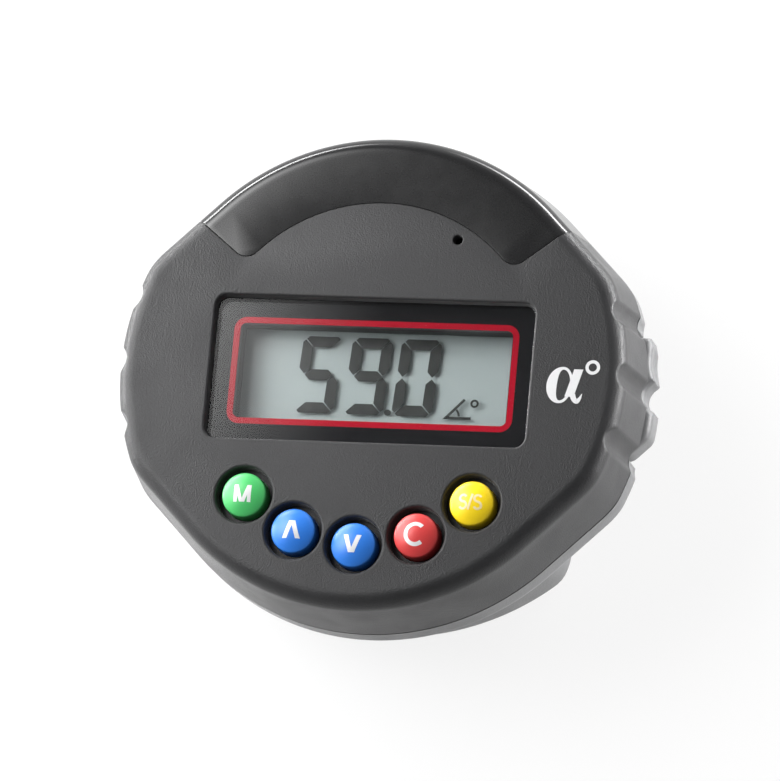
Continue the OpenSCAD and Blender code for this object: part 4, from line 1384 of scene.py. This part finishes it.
for node, solid in frame["nodes"].items():
    solid.data.materials.clear()
    solid.data.materials.append(FINISH[slot_of[node]])
CASE_PIECES = {
    "front_case": front_piece,
    "alarm_lens": lens_piece,
    "rear_case": rear_piece,
    "battery_cover": block_piece,
    "display_window": pane,
    "lcd_panel": reflector,
}
for node, piece in CASE_PIECES.items():
    attach(piece, "case", FINISH[slot_of[node]], node)
for side_name, tab in tabs.items():
    attach(tab, f"{side_name}_tab", FINISH["grey_plastic"], f"{side_name}_latch")
for side_name, spring in springs.items():
    attach(spring, "case", FINISH["spring_steel"], f"{side_name}_latch_spring")
    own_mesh(spring)
for piece, material in ((red_ring, red_paint), (glass, display_cover), (reading, ink), (symbol, white_paint)):
    attach(piece, "case", material)
for key in KEYS:
    attach(caps[key], f"{key}_key", FINISH[slot_of[f"{key}_button"]], f"{key}_button")
    attach(legends[key], f"{key}_key", pale_paint if key == "start" else white_paint)

# %% [markdown]
# ## Studio
# A large softbox at the upper left lights the face. It fades towards its rim, so the window and the lens
# mirror a soft slope and not a hard patch. Low strips round the case draw a line of light along its edges,
# and the pale floor and the world fill the rest. The floor is white to the eye and in reflections, and
# keeps the shadow.

# %% Floor, lights and world
FLOOR_SIZE = 3.0
FLOOR_Z = -0.02
FLOOR_GLOW = 0.85
WORLD_LEVEL = 0.25
ZENITH_LEVEL = 0.12


def white_for_eye(tree):
    """1 for rays that come from the camera, a mirror or glass, and 0 for the others."""
    path = add(tree, "LightPath", {})
    eye, mirror, through = (path.outputs[f"Is {kind} Ray"] for kind in ("Camera", "Glossy", "Transmission"))
    seen = add(tree, "Math", {0: eye, 1: mirror}, operation="MAXIMUM")
    return add(tree, "Math", {0: seen.outputs[0], 1: through}, operation="MAXIMUM").outputs[0]


def studio_floor():
    """One large square just under the part, which mixes a plain surface with a white glow for the eye."""
    half = FLOOR_SIZE / 2 / MM
    skin = Skin()
    skin.polygon([(x * half, y * half, FLOOR_Z) for x, y in ((-1, -1), (1, -1), (1, 1), (-1, 1))])
    plane = skin.build("studio_floor")
    material, tree, shader = new_material("studio_floor")
    shader.inputs["Base Color"].default_value = (0.9, 0.9, 0.9, 1)
    shader.inputs["Roughness"].default_value = 0.9
    glow = add(tree, "Emission", {"Color": (1, 1, 1, 1), "Strength": 1.0})
    share = add(tree, "Math", {0: white_for_eye(tree), 1: FLOOR_GLOW}, operation="MULTIPLY")
    mixed = add(tree, "MixShader", {0: share.outputs[0], 1: shader.outputs[0], 2: glow.outputs[0]})
    tree.links.new(mixed.outputs[0], tree.nodes["Material Output"].inputs["Surface"])
    plane.data.materials.append(material)
    return plane


def softbox(name, place, aim, size, power, height):
    """Lamp of size by height at a place, in metres, that faces a point and fades towards its rim."""
    lamp = bpy.data.lights.new(name, "AREA")
    lamp.use_nodes = True
    tree = lamp.node_tree
    tree.nodes.clear()
    spot = add(tree, "NewGeometry", {}).outputs["Parametric"]
    from_middle = add(tree, "VectorMath", {0: spot, 1: (0.5, 0.5, 0)}, operation="DISTANCE").outputs["Value"]
    fade = add(tree, "MapRange", {"Value": from_middle, "From Min": 0.5, "From Max": 0.1},
               interpolation_type="SMOOTHSTEP")
    glow = add(tree, "Emission", {"Strength": fade.outputs[0]})
    add(tree, "OutputLight", {"Surface": glow.outputs[0]})
    lamp.shape = "RECTANGLE"
    lamp.size = size
    lamp.size_y = height
    lamp.energy = power
    holder = bpy.data.objects.new(name, lamp)
    holder.location = place
    holder.rotation_euler = (Vector(aim) - Vector(place)).to_track_quat("-Z", "Y").to_euler()
    holder.visible_camera = False
    bpy.context.scene.collection.objects.link(holder)
    print(name, power, "W")


studio_floor()
softbox("key_light", (-0.177, 0.068, 0.235), (0, 0, 0.03), 0.44, 3.95, 0.27)
softbox("left_strip", (-0.2, 0.05, 0.04), (0, 0, 0.028), 0.3, 1.9, 0.05)
softbox("corner_strip", (-0.16, 0.2, 0.082), (0, 0, 0.03), 0.3, 1.5, 0.04)
softbox("top_strip", (0.12, 0.2, 0.03), (0, 0, 0.015), 0.3, 1.7, 0.05)
softbox("right_strip", (0.2, 0.06, 0.016), (0, 0, 0.015), 0.24, 2.3, 0.04)
world = bpy.data.worlds.new("studio")
bpy.context.scene.world = world
world.use_nodes = True
sky = world.node_tree
sky.nodes.clear()
rise = add(sky, "SeparateXYZ", {"Vector": add(sky, "TexCoord", {}).outputs["Generated"]}).outputs["Z"]
backdrop = add(sky, "MapRange", {"Value": rise, "From Min": 0.1, "From Max": 0.6,
                                 "To Min": 1.0, "To Max": ZENITH_LEVEL})
level = add(sky, "MapRange", {"Value": white_for_eye(sky), "To Min": WORLD_LEVEL,
                              "To Max": backdrop.outputs[0]})
air = add(sky, "Background", {"Color": (1, 1, 1, 1), "Strength": level.outputs[0]})
add(sky, "OutputWorld", {"Surface": air.outputs[0]})

# %% [markdown]
# ## Camera
# The gauge lies on its back and the camera looks down on it from the lower right, turned so that the display
# reads nearly level. A long lens keeps the outline almost free of perspective.

# %% Set the camera
VIEW_AZIMUTH = math.radians(43.9)
VIEW_ELEVATION = math.radians(70.7)
VIEW_ROLL = math.radians(-40.3)
VIEW_DISTANCE = 1.3
VIEW_WIDTH = 0.1211
VIEW_SHIFT_RIGHT = 2.6 * MM
VIEW_SHIFT_UP = -2.4 * MM

level_reach = math.cos(VIEW_ELEVATION)
to_viewer = Vector((math.sin(VIEW_AZIMUTH) * level_reach, -math.cos(VIEW_AZIMUTH) * level_reach,
                    math.sin(VIEW_ELEVATION)))
level_right = Vector((math.cos(VIEW_AZIMUTH), math.sin(VIEW_AZIMUTH), 0))
right = math.cos(VIEW_ROLL) * level_right + math.sin(VIEW_ROLL) * to_viewer.cross(level_right)
up = to_viewer.cross(right)
target = Vector((0, 0, pane_low[2] * MM)) + VIEW_SHIFT_RIGHT * right + VIEW_SHIFT_UP * up
camera = bpy.data.cameras.new("camera")
camera.sensor_width = 36
camera.lens = camera.sensor_width * VIEW_DISTANCE / VIEW_WIDTH
camera.clip_end = 10
viewer = bpy.data.objects.new("camera", camera)
turn = Matrix((right, up, to_viewer)).transposed().to_4x4()
viewer.matrix_world = Matrix.Translation(target + VIEW_DISTANCE * to_viewer) @ turn
bpy.context.scene.collection.objects.link(viewer)
bpy.context.scene.camera = viewer
bpy.context.scene.view_settings.view_transform = "Standard"
print("lens", round(camera.lens), "mm")
